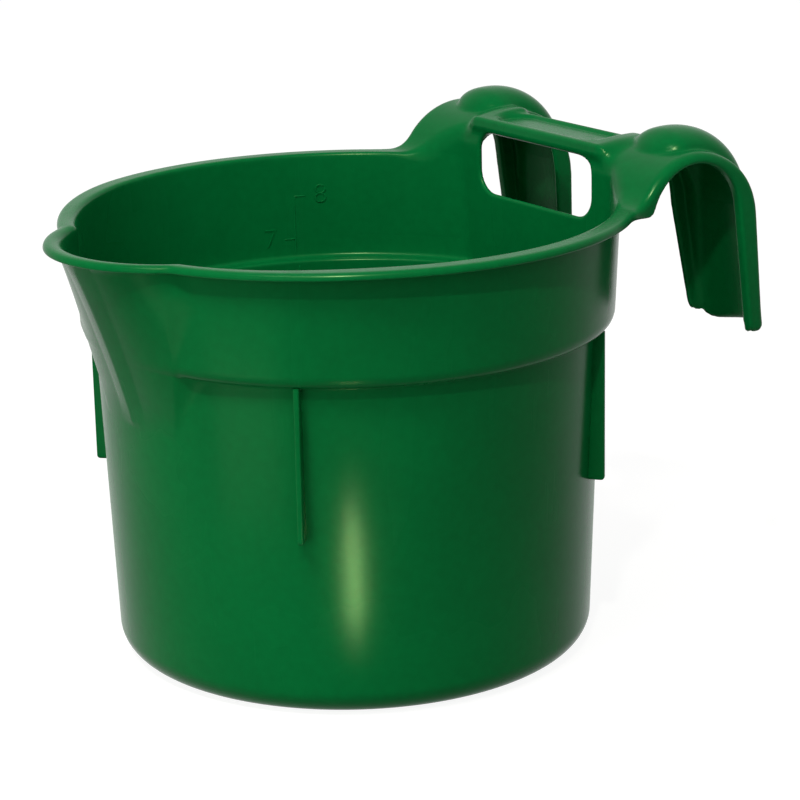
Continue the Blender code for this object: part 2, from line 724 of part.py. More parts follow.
def main():
    clear_scene()
    base_floor()
    base_corner()
    lower_wall()
    upper_band()
    pour_spout()
    rim_flange()
    back_panel()
    ears()
    ear_lips()
    hooks()
    grip_bar()
    ribs()
    quart_scale()


main()
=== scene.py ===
# %% [markdown]
# # A hanging feed trough, dressed for its portrait
# The real article is one plastic moulding: a round pot with a pouring spout, a flanged rim,
# and two broad hooks that drop over a fence rail. The parts library keeps it as plain
# solids. This lesson builds the seamless moulding that those solids stand for, gives it
# a semi-gloss green plastic, and sets up a plain studio round it.

# %% Load the solids
import math

import bpy
import bmesh
import numpy as np
from mathutils import Matrix


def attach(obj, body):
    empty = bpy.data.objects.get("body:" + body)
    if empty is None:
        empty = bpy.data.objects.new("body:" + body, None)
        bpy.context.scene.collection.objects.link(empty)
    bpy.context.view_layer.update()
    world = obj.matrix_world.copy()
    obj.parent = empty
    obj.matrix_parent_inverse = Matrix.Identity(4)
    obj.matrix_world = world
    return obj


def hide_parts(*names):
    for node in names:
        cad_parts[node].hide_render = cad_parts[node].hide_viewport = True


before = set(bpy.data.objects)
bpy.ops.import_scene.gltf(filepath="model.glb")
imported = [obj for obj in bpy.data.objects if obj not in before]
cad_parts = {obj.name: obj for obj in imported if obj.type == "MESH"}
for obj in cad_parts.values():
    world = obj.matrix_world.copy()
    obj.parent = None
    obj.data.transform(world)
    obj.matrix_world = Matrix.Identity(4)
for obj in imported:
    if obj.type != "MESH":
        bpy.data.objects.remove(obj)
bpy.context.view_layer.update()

# %% [markdown]
# ## Sizes
# Every length is in metres. A moulding is drawn from a handful of radii and heights, so
# these come first, and each feature below is placed from them. Heights on the wall are
# given as a drop below the rim, because that is how the pot was measured.

# %% Sizes of the pot
RIM_HEIGHT = 0.2085
RIM_RADIUS = 0.1341
RIM_THICK = 0.0034
WALL = 0.0028
BAND_TOP_RADIUS = 0.1268
BAND_LOW_RADIUS = 0.1242
BAND_DEPTH = 0.0539
LEDGE_TOP_DROP = 0.0528
LOWER_TOP_RADIUS = 0.1180
BASE_RADIUS = 0.1127
BASE_ROUND = 0.0127
BACK_FLAT = 0.1120
print("rim", 2 * RIM_RADIUS, "m across,", RIM_HEIGHT, "m high")

# %% [markdown]
# ## Blending two surfaces
# A mould has no sharp inside corners: wherever two faces meet there is a small radius.
# The smooth minimum of two distances gives exactly that. Where the distances differ by
# more than the width it is the plain minimum, so a blend never reaches past its corner.

# %% Smooth minimum, smooth maximum and smooth step
def smooth_min(a, b, width):
    """Smaller of a and b; within width of each other, less width * s * (1 - s)."""
    share = np.clip(0.5 + 0.5 * (b - a) / width, 0.0, 1.0)
    return b * (1 - share) + a * share - width * share * (1 - share)


def smooth_max(a, b, width):
    """Larger of a and b, rounded in the same way."""
    return -smooth_min(-a, -b, width)


def smooth_step(value, start, end):
    """0 before start, 1 after end, and 3 t^2 - 2 t^3 between them."""
    t = np.clip((value - start) / (end - start), 0.0, 1.0)
    return t * t * (3 - 2 * t)


print("a blend 0.004 m wide fills its corner by", -float(smooth_min(0.0, 0.0, 0.004)), "m")

# %% [markdown]
# ## The plan of the spout
# Seen from above the wall is a circle, cut straight at the back and drawn out in front to
# a spout. The spout is a round nose between two straight flanks. Going down the wall, the
# nose draws in and grows blunter until it dies into the lower wall. A circle and two
# lines, each a formula of the angle and the drop below the rim, are enough to draw it.

# %% Distance from the axis to the spout
SPOUT_REACH, SPOUT_NOSE, SPOUT_FLANK = 0.1497, 0.0590, 0.1760
TIP_SLOPE, TIP_CURVE, NOSE_GROWTH = 0.448, 1.12, 0.90
FLANK_SLOPE, FLANK_CURVE = 0.146, 2.24
CREASE, CREASE_HALF, CREASE_FROM, CREASE_FULL = 0.0014, 0.09, 0.004, 0.012
SPOUT_HALF, SPOUT_DEPTH = math.radians(30), 0.084


def spout_radius(off_tip, drop, inset):
    """Nose circle or 45 degree flank, whichever is nearer the axis, at a drop below the rim.

    tip = reach - inset - slope * drop + curve * drop^2, nose = radius - inset + growth * drop,
    flank = (flank - sqrt(2) * inset - slope * drop - curve * drop^2) / (sin + cos) of the
    angle off the tip. Below the flange a thin crease stands proud down the tip.
    """
    off_tip = np.abs(off_tip)
    tip = SPOUT_REACH - inset - TIP_SLOPE * drop + TIP_CURVE * drop ** 2
    nose = SPOUT_NOSE - inset + NOSE_GROWTH * drop
    centre = tip - nose
    reach = np.maximum(nose ** 2 - (centre * np.sin(off_tip)) ** 2, 0.0)
    nose_hit = centre * np.cos(off_tip) + np.sqrt(reach)
    flank = SPOUT_FLANK - inset * math.sqrt(2) - FLANK_SLOPE * drop - FLANK_CURVE * drop ** 2
    hit = np.minimum(nose_hit, flank / (np.sin(off_tip) + np.cos(off_tip)))
    crease = CREASE * np.clip(1 - off_tip / CREASE_HALF, 0, 1)
    hit = hit + crease * smooth_step(drop, CREASE_FROM, CREASE_FULL)
    return np.where((off_tip < SPOUT_HALF) & (drop < SPOUT_DEPTH), hit, 0.0)


print("spout's tip", float(spout_radius(0.0, 0.0, 0.0)), "m from the axis")

# %% [markdown]
# ## The plan of the wall and the rim
# Everything round the pot asks the same question: how far from the axis is the wall, or
# the edge of the rim, at this angle and height? One function answers it, taking the
# farther of circle and spout and then the nearer of that and the flat back, each with a
# small blend. Round the spout the rim is a little lower and narrower.

# %% Distance from the axis to the wall and to the rim's edge
SPOUT_FLANGE, SPOUT_BLEND, FLAT_BLEND = 0.0045, 0.0018, 0.0016
FRONT_DROP, FRONT_NARROW, FRONT_FULL, FRONT_NONE = 0.0011, 0.0014, 25.0, 65.0
LEAST_SINE, NO_FLAT = 0.3, 1.0


def angle_off_tip(angle):
    """Angle from the spout's tip, between minus and plus half a turn."""
    return (angle + 1.5 * math.pi) % (2 * math.pi) - math.pi


def plan_radius(angle, radius, drop, inset, flat):
    """Round radius, or the spout where it is farther out, or the flat back where nearer.

    The back is flat / sine of the angle, and the sine is held up where there is no back.
    """
    radius = smooth_max(radius, spout_radius(angle_off_tip(angle), drop, inset), SPOUT_BLEND)
    back = np.maximum(np.sin(angle), LEAST_SINE)
    return smooth_min(radius, flat / back, FLAT_BLEND)


def band_radius(height):
    """Outer radius of the upper band, which tapers in evenly below the rim."""
    share = np.clip((RIM_HEIGHT - height) / BAND_DEPTH, 0.0, 1.0)
    return BAND_TOP_RADIUS + (BAND_LOW_RADIUS - BAND_TOP_RADIUS) * share


def wall_radius(angle, height, depth):
    """Distance from the axis to the band's wall, at a depth below its outer face."""
    drop = np.maximum(RIM_HEIGHT - height, 0.0)
    return plan_radius(angle, band_radius(height) - depth, drop, SPOUT_FLANGE + depth,
                       BACK_FLAT - depth)


def front_share(angle):
    """0 at the sides and 1 round the spout, where the rim is lower and narrower."""
    off_tip = np.degrees(np.abs(angle_off_tip(angle)))
    return 1 - smooth_step(off_tip, FRONT_FULL, FRONT_NONE)


def rim_radius(angle):
    """Distance from the axis to the outer edge of the rim, which has no flat back."""
    return plan_radius(angle, RIM_RADIUS - FRONT_NARROW * front_share(angle), 0.0, 0.0, NO_FLAT)


def beyond(x, y, radius_at):
    """Distance outside a curve given as a radius at each angle, negative inside:
    (distance from the axis - radius) / sqrt(1 + slope^2), slope by differences."""
    angle, step = np.arctan2(y, x), 0.002
    face = radius_at(angle)
    slope = (radius_at(angle + step) - radius_at(angle - step)) / (2 * step * face)
    return (np.hypot(x, y) - face) / np.sqrt(1 + slope ** 2)


print("rim's edge at the spout", float(rim_radius(np.array(-math.pi / 2))), "m from the axis")

# %% [markdown]
# ## The hook's line, seen from the side
# A hook leaves the rim level, bends up through a small hollow curve, goes over a round
# arch with room for a fence rail, and falls in a straight leg that leans out a little. The
# distance above this line, together with the place across the hook, is all that the
# thickness, the turned-down lips and the raised crown need.

# %% Sizes of the hooks
ARCH_RADIUS, ARCH_Y, ARCH_Z = 0.0362, 0.1323, RIM_HEIGHT - 0.0146
SPLAY, FRONT_BLEND = math.atan(0.100), 0.0078
ARCH_INSIDE, INSIDE_Y, INSIDE_Z = 0.0264, 0.1310, RIM_HEIGHT - 0.0100
INSIDE_SPLAY = math.atan(0.135)
LEG_BOTTOM, WEB_RISE = RIM_HEIGHT - 0.0718, 0.0052
HOOK_OUTER, HOOK_INNER = 0.0961, 0.0440
FOOT_OUTER, FOOT_INNER = 0.0952, 0.0502
LIP_WIDTH, LIP_INSIDE = 0.0062, 0.0032
print("hook", round(HOOK_OUTER - HOOK_INNER, 4), "m wide, leg bottom at", LEG_BOTTOM)


# %% Height above the hook's lines
def above_hook(y, z):
    """Distance above the hook's outer line: the rim's level joined to the arch by a
    hollow blend in front, the arch's circle above, and its tangent down the leg behind."""
    dy, dz = y - ARCH_Y, z - ARCH_Z
    arch = np.hypot(dy, dz) - ARCH_RADIUS
    leg = dy * math.cos(SPLAY) + dz * math.sin(SPLAY) - ARCH_RADIUS
    low = dz * math.cos(SPLAY) < dy * math.sin(SPLAY)
    front = smooth_min(z - RIM_HEIGHT, arch, FRONT_BLEND)
    return np.where(dy < 0, front, np.where(low, leg, arch))


def inside_arch(y, z):
    """Distance outside the lips' lower line: a smaller arch, and its tangent down the leg."""
    dy, dz = y - INSIDE_Y, z - INSIDE_Z
    leg = dy * math.cos(INSIDE_SPLAY) + dz * math.sin(INSIDE_SPLAY)
    low = (dy > 0) & (dz * math.cos(INSIDE_SPLAY) < dy * math.sin(INSIDE_SPLAY))
    return np.where(low, leg, np.hypot(dy, dz)) - ARCH_INSIDE


def leg_share(z):
    """0 at the arch's centre height and above, 1 at the foot."""
    return np.clip((ARCH_Z - z) / (ARCH_Z - LEG_BOTTOM), 0.0, 1.0)


print("lips clear the back by", round(INSIDE_Y + ARCH_INSIDE - BACK_FLAT, 4), "m")

# %% [markdown]
# ## Rim and wall as one distance
# Wall and rim are a sheet bent over: the space outside the inner wall and below the top
# gives its outer skin, and the same space one thickness in gives its hollow. Distances
# are used, and not outlines, because the same sheet goes on into the hooks behind, where
# its edges, its bend and its lip all change shape and still have to flow into each other.

# %% The moulding's distance function
BEND, FRONT_BEND, UNDER_BEND = 0.0020, 0.0022, 0.0012
EDGE_ROUND, EDGE_SOFT = 0.0030, 0.0008
WEB_THINNER, WEB_FROM, WEB_FULL = 0.0004, 42.0, 52.0


def sheet_thickness(angle):
    """Rim thickness at the sides, and the thinner web of the hooks behind."""
    return RIM_THICK - WEB_THINNER * smooth_step(angle, WEB_FROM, WEB_FULL)


def moulding(x, y, z, hooks):
    """Distance from the moulding's surface above the band's middle, negative inside.

    skin = max(height above the top, minus distance outside the inner wall), cut by the
    plan's edge; hollow = the same pair one thickness in; the sheet is skin less hollow.
    """
    inner = beyond(x, y, lambda a: wall_radius(a, z, WALL))
    outer = beyond(x, y, lambda a: wall_radius(a, z, 0.0))
    edge = beyond(x, y, rim_radius)
    if hooks:
        turn = np.degrees(np.arctan2(y, np.abs(x)))
        return hook_region(np.abs(x), y, z, turn, inner, outer, edge)
    front = front_share(np.arctan2(y, x))
    top = z - RIM_HEIGHT + FRONT_DROP * front
    skin = smooth_max(smooth_max(top, -inner, BEND + FRONT_BEND * front), edge, EDGE_ROUND)
    hollow = smooth_max(top + RIM_THICK, -outer, UNDER_BEND)
    return smooth_max(skin, -hollow, EDGE_SOFT)


middle = np.array([[(BAND_TOP_RADIUS + RIM_RADIUS) / 2], [0.0], [RIM_HEIGHT - RIM_THICK / 2]])
print("inside the rim by", -float(moulding(*middle, False)[0]), "m at its middle")

# %% [markdown]
# ## The crown over a hook
# Along the middle of each strap a round crown is pressed up, highest over the arch and
# lower along the leg. It is a dome stretched along the hook's line, so that only its
# height changes on the way. The same dome, a little smaller and lower, is the bowl below.

# %% Crown
CROWN_HALF, CROWN_NOSE, CROWN_FRONT_Y = 0.0166, 0.0122, 0.1330
CROWN_X, CROWN_LEAN = 0.0702, 0.0025
RISE_BEHIND, RISE_ABOVE, RISE_BETWEEN, RISE_LEAST = 0.0045, 0.0080, 0.0026, 0.0006
CROWN_SUNK, CROWN_EDGE = 0.0015, 0.0004


def crown(x, y, z, height, half, lift, level):
    """Distance outside a long dome: an ellipse across the hook and over its line,
    (x / half)^2 + (height / rise)^2 + (nose / length)^2 = 1, with a round front end."""
    dy, dz = y - ARCH_Y, z - ARCH_Z
    far = np.maximum(np.hypot(dy, dz), 1e-6)
    low = (dy > 0) & (dz * math.cos(SPLAY) < dy * math.sin(SPLAY))
    ny = np.where(low, math.cos(SPLAY), dy / far)
    nz = np.where(low, math.sin(SPLAY), dz / far)
    rise = RISE_BEHIND * ny + RISE_ABOVE * nz + RISE_BETWEEN * ny * nz + lift
    rise = np.maximum(rise, RISE_LEAST)
    a = (x - CROWN_X - CROWN_LEAN * leg_share(z)) / half
    b = np.maximum(height - level, 0.0) / rise
    c = np.maximum(CROWN_FRONT_Y - y, 0.0) / CROWN_NOSE
    size = np.sqrt(a * a + b * b + c * c)
    steep = np.sqrt((a / half) ** 2 + (b / rise) ** 2 + (c / CROWN_NOSE) ** 2)
    dome = (size - 1) * size / np.maximum(steep, 1.0)
    return smooth_max(dome, level - CROWN_SUNK - height, CROWN_EDGE)


print("crown", 2 * CROWN_HALF, "m wide")

# %% [markdown]
# ## The bar and the hand hole
# A bar for the hand joins the two hooks over a hole in the back, with a shallow trough
# along its top. Bar and hole are boxes with round edges, and the trough is a slot with
# round ends, wider above so that the mould can leave it.

# %% Bar and trough
BAR_FRONT, BAR_BACK, BAR_TOP, BAR_THICK = 0.1095, 0.1366, RIM_HEIGHT + 0.0212, 0.0050
BAR_ROUND, BAR_HALF, BAR_END = 0.0016, 0.0520, 0.006
TROUGH_HALF, TROUGH_Y, TROUGH_ROUND, TROUGH_DEEP = 0.0296, 0.1240, 0.0092, 0.0018
TROUGH_DRAFT, TROUGH_SCALE, TROUGH_FOOT = 0.7, 0.82, 0.0008


def bar(x, y, z):
    """Distance outside a bar with round edges that runs on into both hooks."""
    ny = np.abs(y - (BAR_FRONT + BAR_BACK) / 2) - (BAR_BACK - BAR_FRONT) / 2 + BAR_ROUND
    nz = np.abs(z - BAR_TOP + BAR_THICK / 2) - BAR_THICK / 2 + BAR_ROUND
    solid = np.hypot(np.maximum(ny, 0), np.maximum(nz, 0)) + np.minimum(np.maximum(ny, nz), 0)
    return smooth_max(solid - BAR_ROUND, x - BAR_HALF, BAR_END)


def trough(x, y, z):
    """Distance outside the trough: a long slot, wider above, with a flat floor. The slot's
    distance is scaled by about 1 / sqrt(1 + draft^2), because its sides lean."""
    slot = np.hypot(np.maximum(x - TROUGH_HALF, 0), y - TROUGH_Y) - TROUGH_ROUND
    bottom = BAR_TOP - TROUGH_DEEP
    leaning = (slot - TROUGH_DRAFT * (z - bottom)) * TROUGH_SCALE
    return smooth_max(leaning, bottom - z, TROUGH_FOOT)


print("bar", BAR_BACK - BAR_FRONT, "m wide and", BAR_THICK, "m thick")

# %% Hand hole
HOLE_LOW, HOLE_HIGH = RIM_HEIGHT - 0.0153, RIM_HEIGHT + 0.0160
HOLE_HALF, HOLE_ROUND, HOLE_BACK = 0.0438, 0.0110, 0.1150


def hand_hole(x, y, z):
    """Distance outside a rectangle with round corners that ends just behind the panel."""
    nx = x - HOLE_HALF + HOLE_ROUND
    nz = np.abs(z - (HOLE_LOW + HOLE_HIGH) / 2) - (HOLE_HIGH - HOLE_LOW) / 2 + HOLE_ROUND
    outline = np.hypot(np.maximum(nx, 0), np.maximum(nz, 0)) \
        + np.minimum(np.maximum(nx, nz), 0) - HOLE_ROUND
    return np.maximum(outline, y - HOLE_BACK)


print("hand hole", 2 * HOLE_HALF, "by", round(HOLE_HIGH - HOLE_LOW, 4), "m")

# %% [markdown]
# ## The strap of a hook
# Behind the sides of the pot the rim widens into an ear, and the ear runs over the arch.
# The outer edge carries a lip turned down for stiffness, and past the back panel the
# inner edge has one too; between them the strap is hollow below. The skin and the hollow
# are kept apart here, as in the rim, because each has roundings of its own.

# %% Skin of the strap
EAR_BEND, EAR_EDGE, EAR_EDGE_FULL, EAR_EDGE_NONE = 0.0034, 0.0026, 0.145, 0.165
FOOT_RISE, RISE_FROM, RISE_TO = 0.0006, 0.0640, 0.0880
FOOT_CORNER, FOOT_ROUND = 0.0105, 0.0024
FOOT_ROUNDER, ROUNDER_FROM, ROUNDER_FULL = 0.0026, -0.0120, -0.0050
STRAP_FRONT = 0.1135


def strap_skin(x, y, z, ear, height, inner, plan, side_in):
    """Largest of the distances above the hook's line, inside the wall, past the plan,
    and, behind the panel, below the foot or past the inner side."""
    on_ear = ear * (1 - smooth_step(y, EAR_EDGE_FULL, EAR_EDGE_NONE))
    skin = smooth_max(height, -inner, BEND + EAR_BEND * ear)
    skin = smooth_max(skin, plan, EDGE_ROUND + EAR_EDGE * on_ear)
    bottom = LEG_BOTTOM + FOOT_RISE * smooth_step(x, RISE_FROM, RISE_TO)
    foot = smooth_max(bottom - z, side_in, FOOT_CORNER)
    near_foot = smooth_step(bottom - z, ROUNDER_FROM, ROUNDER_FULL)
    foot_round = FOOT_ROUND + FOOT_ROUNDER * near_foot
    return smooth_max(skin, np.minimum(foot, y - STRAP_FRONT), foot_round)


print("corner of the foot blended over", FOOT_CORNER, "m")

# %% Hollow of the strap
EAR_UNDER, LIP_DROP = 0.0009, 0.0019
LIP_DROP_EAR, DROP_FROM, DROP_FULL = 0.0028, 37.5, 48.0
LIMIT_BLEND, LIP_CORNER, PANEL_BACK, NO_SHELF = 0.0036, 0.0024, 0.1100, -1.0
LIP_FILLET, LIP_FILLET_LEG = 0.0014, 0.0036


def strap_hollow(y, z, turn, ear, share, height, outer, plan, side_in):
    """One thickness below the line and outside the wall, less a lip along each edge that
    hangs down to the shelf under the ear and to the inside arch behind."""
    hollow = smooth_max(height + sheet_thickness(turn), -outer, UNDER_BEND + EAR_UNDER * ear)
    lip_drop = LIP_DROP + LIP_DROP_EAR * smooth_step(turn, DROP_FROM, DROP_FULL)
    shelf = np.where(y < INSIDE_Y, RIM_HEIGHT - lip_drop - z, NO_SHELF)
    limit = smooth_max(shelf, -inside_arch(y, z), LIMIT_BLEND)
    lip_out = smooth_min(plan + LIP_WIDTH, -limit, LIP_CORNER)
    lip_in = smooth_min(np.minimum(side_in + LIP_INSIDE, y - PANEL_BACK), -limit, LIP_CORNER)
    hollow = smooth_max(hollow, lip_out, LIP_FILLET)
    return smooth_max(hollow, lip_in, LIP_FILLET + LIP_FILLET_LEG * share)


print("lips", LIP_WIDTH, "and", LIP_INSIDE, "m wide")

# %% [markdown]
# ## Everything behind the sides of the pot
# Now the features are put together one after the other: the strap, the gap below its
# web, the crown with the bowl under it, the hole, the bar and the trough. Adding a
# feature is a smooth minimum and cutting one a smooth maximum, and the width of each
# blend sets the radius that the eye reads between the two.

# %% The moulding behind the pot's sides
EAR_FROM, EAR_FULL, PLAN_BLEND = 43.0, 54.0, 0.0078
EAR_SOFT, FOOT_SOFT, SOFT_FROM, SOFT_FULL = 0.0012, 0.0008, -0.0090, -0.0030
WEB_LOW_FROM, WEB_LOW_TO = 0.0520, 0.0920
WEB_FRONT, WEB_CORNER, WEB_EDGE = 0.1300, 0.0016, 0.0026
CROWN_WIDER, CROWN_FILLET, CROWN_FILLET_LEG = 0.0034, 0.0018, 0.0030
BOWL_NARROWER, BOWL_LIFT, BOWL_LEVEL = 0.0014, -0.0010, -0.0032
BOWL_EDGE, BOWL_EDGE_LEG = 0.0024, 0.0026
HOLE_EDGE, BAR_FILLET, TROUGH_EDGE = 0.0022, 0.0076, 0.0012


def hook_region(x, y, z, turn, inner, outer, edge):
    """Distance from the moulding behind the pot's sides; turn is the angle in degrees.

    skin less hollow, less the gap below the web, joined to the crown, less the bowl and
    the hand hole, joined to the bar, less the trough.
    """
    share, ear = leg_share(z), smooth_step(turn, EAR_FROM, EAR_FULL)
    side_out = x - (HOOK_OUTER + (FOOT_OUTER - HOOK_OUTER) * share)
    side_in = (HOOK_INNER + (FOOT_INNER - HOOK_INNER) * share) - x
    height = above_hook(y, z)
    plan = smooth_min(edge, side_out, PLAN_BLEND)
    skin = strap_skin(x, y, z, ear, height, inner, plan, side_in)
    hollow = strap_hollow(y, z, turn, ear, share, height, outer, plan, side_in)
    near_foot = smooth_step(LEG_BOTTOM - z, SOFT_FROM, SOFT_FULL)
    body = smooth_max(skin, -hollow, EDGE_SOFT + EAR_SOFT * ear + FOOT_SOFT * near_foot)
    web_low = LEG_BOTTOM + WEB_RISE * smooth_step(x, WEB_LOW_FROM, WEB_LOW_TO)
    gap = smooth_max(z - web_low, side_out + LIP_WIDTH, WEB_CORNER)
    body = smooth_max(body, -np.maximum(gap, WEB_FRONT - y), WEB_EDGE)
    half = CROWN_HALF + CROWN_WIDER * share
    dome_foot = smooth_max(web_low - z, side_in, FOOT_CORNER)
    dome = smooth_max(crown(x, y, z, height, half, 0.0, 0.0), dome_foot, WEB_EDGE)
    body = smooth_min(body, dome, CROWN_FILLET + CROWN_FILLET_LEG * share)
    bowl = crown(x, y, z, height, half - BOWL_NARROWER, BOWL_LIFT, BOWL_LEVEL)
    body = smooth_max(body, -bowl, BOWL_EDGE + BOWL_EDGE_LEG * share)
    body = smooth_max(body, -hand_hole(x, y, z), HOLE_EDGE)
    body = smooth_min(body, bar(x, y, z), BAR_FILLET)
    return smooth_max(body, -trough(x, y, z), TROUGH_EDGE)


middle = np.array([[0.0], [(BAR_FRONT + BAR_BACK) / 2], [BAR_TOP - BAR_THICK / 2]])
print("inside the bar by", -float(moulding(*middle, True)[0]), "m at its middle")

# %% [markdown]
# ## From arrays to a mesh
# Blender takes a mesh as flat lists of numbers, so whole arrays go in at once and no
# loop runs over the points. A surface that closes on itself brings some points together;
# these are merged, and then the faces are turned to look outwards.

# %% Quads and meshes from arrays
def grid_quads(index):
    """Four-cornered faces between neighbouring rows and columns of a table of points."""
    return np.stack([index[:-1, :-1], index[1:, :-1], index[1:, 1:], index[:-1, 1:]],
                    axis=-1).reshape(-1, 4)


def mesh_from_arrays(name, points, quads, caps=()):
    """A mesh from an array of points, an array of quads and a few many-sided caps."""
    mesh = bpy.data.meshes.new(name)
    mesh.vertices.add(len(points))
    mesh.vertices.foreach_set("co", np.ascontiguousarray(points, dtype=np.float32).ravel())
    mesh.loops.add(quads.size)
    mesh.loops.foreach_set("vertex_index", np.ascontiguousarray(quads, dtype=np.int32).ravel())
    mesh.polygons.add(len(quads))
    mesh.polygons.foreach_set("loop_start", np.arange(0, quads.size, 4, dtype=np.int32))
    mesh.update(calc_edges=True)
    if len(caps):
        shape = bmesh.new()
        shape.from_mesh(mesh)
        shape.verts.ensure_lookup_table()
        for cap in caps:
            shape.faces.new([shape.verts[i] for i in cap])
        shape.to_mesh(mesh)
        shape.free()
    return mesh


print("3 rows of 4 points make", len(grid_quads(np.arange(12).reshape(3, 4))), "faces")

# %% Closing a mesh
MERGE_WITHIN, SHARP_FROM = 2e-6, math.radians(38)


def close_up(mesh):
    """Merge points that lie together, turn every face outwards and shade it smooth up to
    the sharp angle. Gives back the number of edges left open."""
    shape = bmesh.new()
    shape.from_mesh(mesh)
    bmesh.ops.remove_doubles(shape, verts=shape.verts, dist=MERGE_WITHIN)
    bmesh.ops.dissolve_degenerate(shape, edges=shape.edges, dist=MERGE_WITHIN)
    bmesh.ops.recalc_face_normals(shape, faces=shape.faces)
    loose = sum(1 for edge in shape.edges if not edge.is_manifold)
    shape.to_mesh(mesh)
    shape.free()
    mesh.shade_smooth()
    mesh.set_sharp_from_angle(angle=SHARP_FROM)
    return loose


def tube_mesh(name, points):
    """A closed mesh from rows of points that each run round a section, capped at its ends."""
    rows, loop = points.shape[:2]
    index = np.arange(rows * loop).reshape(rows, loop)
    index = np.concatenate([index, index[:, :1]], axis=1)
    mesh = mesh_from_arrays(name, points.reshape(-1, 3), grid_quads(index),
                            [index[0, :-1], index[-1, :-1]])
    close_up(mesh)
    return mesh


print("edges stay smooth up to", round(math.degrees(SHARP_FROM)), "degrees")

# %% Linking a piece to the part
pieces = []


def add_piece(name, mesh, nodes):
    """Link a finished mesh as a piece that rides on the part in place of some solids."""
    piece = bpy.data.objects.new(name, mesh)
    bpy.context.scene.collection.objects.link(piece)
    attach(piece, "root")
    for node in nodes:
        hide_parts(node)
    pieces.append(piece)
    print(name, len(mesh.vertices), "points,", len(mesh.polygons), "faces")


# %% [markdown]
# ## Walking points onto a surface
# A distance function says how far off a point is, and its slope says which way to go, so
# a few steps bring any nearby point onto the surface. Steps are kept short and slopes are
# not trusted below a half, because the distance is less exact next to sharp turns.

# %% Settle points on a surface
NUDGE, LONGEST_STEP, LEAST_SLOPE = 2e-5, 0.0006, 0.25


def settle(points, distance, ways, rounds):
    """Walk points onto the surface where distance is 0: p = p - d * slope / |slope|^2.

    ways lists the unit directions in which the points may move, each as one row for all
    the points or one row for each.
    """
    for _ in range(rounds):
        here = distance(*points.T)
        slopes = [(distance(*(points + NUDGE * way).T) - distance(*(points - NUDGE * way).T))
                  / (2 * NUDGE) for way in ways]
        size = np.maximum(sum(slope ** 2 for slope in slopes), LEAST_SLOPE)
        move = sum(slope[:, None] * way for slope, way in zip(slopes, ways))
        step = np.clip(here / size, -LONGEST_STEP, LONGEST_STEP)
        points = points - step[:, None] * move
    return points


AXES = [np.array([[1.0, 0, 0]]), np.array([[0, 1.0, 0]]), np.array([[0, 0, 1.0]])]
ball = settle(np.array([[0.1003, 0, 0]]), lambda x, y, z: np.sqrt(x * x + y * y + z * z) - 0.1,
              AXES, 1)
print("one step brings a point to", float(ball[0, 0]), "on a ball of radius 0.1")

# %% [markdown]
# ## The pot
# The pot is a section carried round the axis: up the inside from the middle of the floor,
# over a small ledge where the band begins, over the rim, and down the outside to the
# middle of the base. Each point of the section keeps its radius and height, and the plan
# bends the radius at the spout and the flat back. Behind, between the hooks, the section
# stops below the hand hole, because the next piece takes over there.

# %% Lines and arcs of a section
BAND_BOTTOM, LEDGE_TOP = RIM_HEIGHT - BAND_DEPTH, RIM_HEIGHT - LEDGE_TOP_DROP
SEAM_HEIGHT, SEAM_ANGLE = RIM_HEIGHT - 0.0420, 36.0


def lower_radius(height):
    """Outer radius of the lower wall, an even taper from the ledge to the base."""
    return BASE_RADIUS + (LOWER_TOP_RADIUS - BASE_RADIUS) * (height - BASE_ROUND) \
        / (BAND_BOTTOM - BASE_ROUND)


def arc(centre_r, centre_z, radius, start, end, steps):
    """Radius and height along an arc, angles in degrees, as two columns."""
    a = np.radians(np.linspace(start, end, steps + 1))
    return np.stack([centre_r + radius * np.cos(a), centre_z + radius * np.sin(a)], axis=1)


def line(r0, z0, r1, z1, steps):
    """Radius and height along a straight line, as two columns."""
    t = np.linspace(0, 1, steps + 1)[:, None]
    return np.array([[r0, z0]]) * (1 - t) + np.array([[r1, z1]]) * t


def wall_line(heights, depth):
    """Radius and height down the lower wall."""
    return np.stack([lower_radius(heights) - depth, heights], axis=1)


print("lower wall", LOWER_TOP_RADIUS, "m in radius at the top,", BASE_RADIUS, "at the base")

# %% Sections of the outside and the inside below the seam
STEP_ROUND, STEP_FILLET, LEDGE_ROUND, LEDGE_FILLET = 0.0048, 0.0012, 0.0015, 0.0021
FINE_DOWN_TO, LAST_RING, STRAIGHT, LEDGE_STRAIGHT = 0.1215, 0.0004, 0.0002, 0.0030
corner, low = BASE_RADIUS - BASE_ROUND, BAND_LOW_RADIUS
fine = np.linspace(BAND_BOTTOM - STEP_FILLET, FINE_DOWN_TO, 24)
coarse = np.linspace(FINE_DOWN_TO, BASE_ROUND, 8)[1:]
outside = np.concatenate([
    line(band_radius(SEAM_HEIGHT), SEAM_HEIGHT, low + STRAIGHT, BAND_BOTTOM + STEP_ROUND, 4),
    arc(low - STEP_ROUND, BAND_BOTTOM + STEP_ROUND, STEP_ROUND, 0, -90, 9)[1:],
    arc(LOWER_TOP_RADIUS + STEP_FILLET, BAND_BOTTOM - STEP_FILLET, STEP_FILLET, 90, 180, 4),
    wall_line(fine[1:], 0.0), wall_line(coarse, 0.0),
    arc(corner, BASE_ROUND, BASE_ROUND, 0, -90, 14)[1:],
    line(corner, 0.0, LAST_RING, 0.0, 7)[1:]])
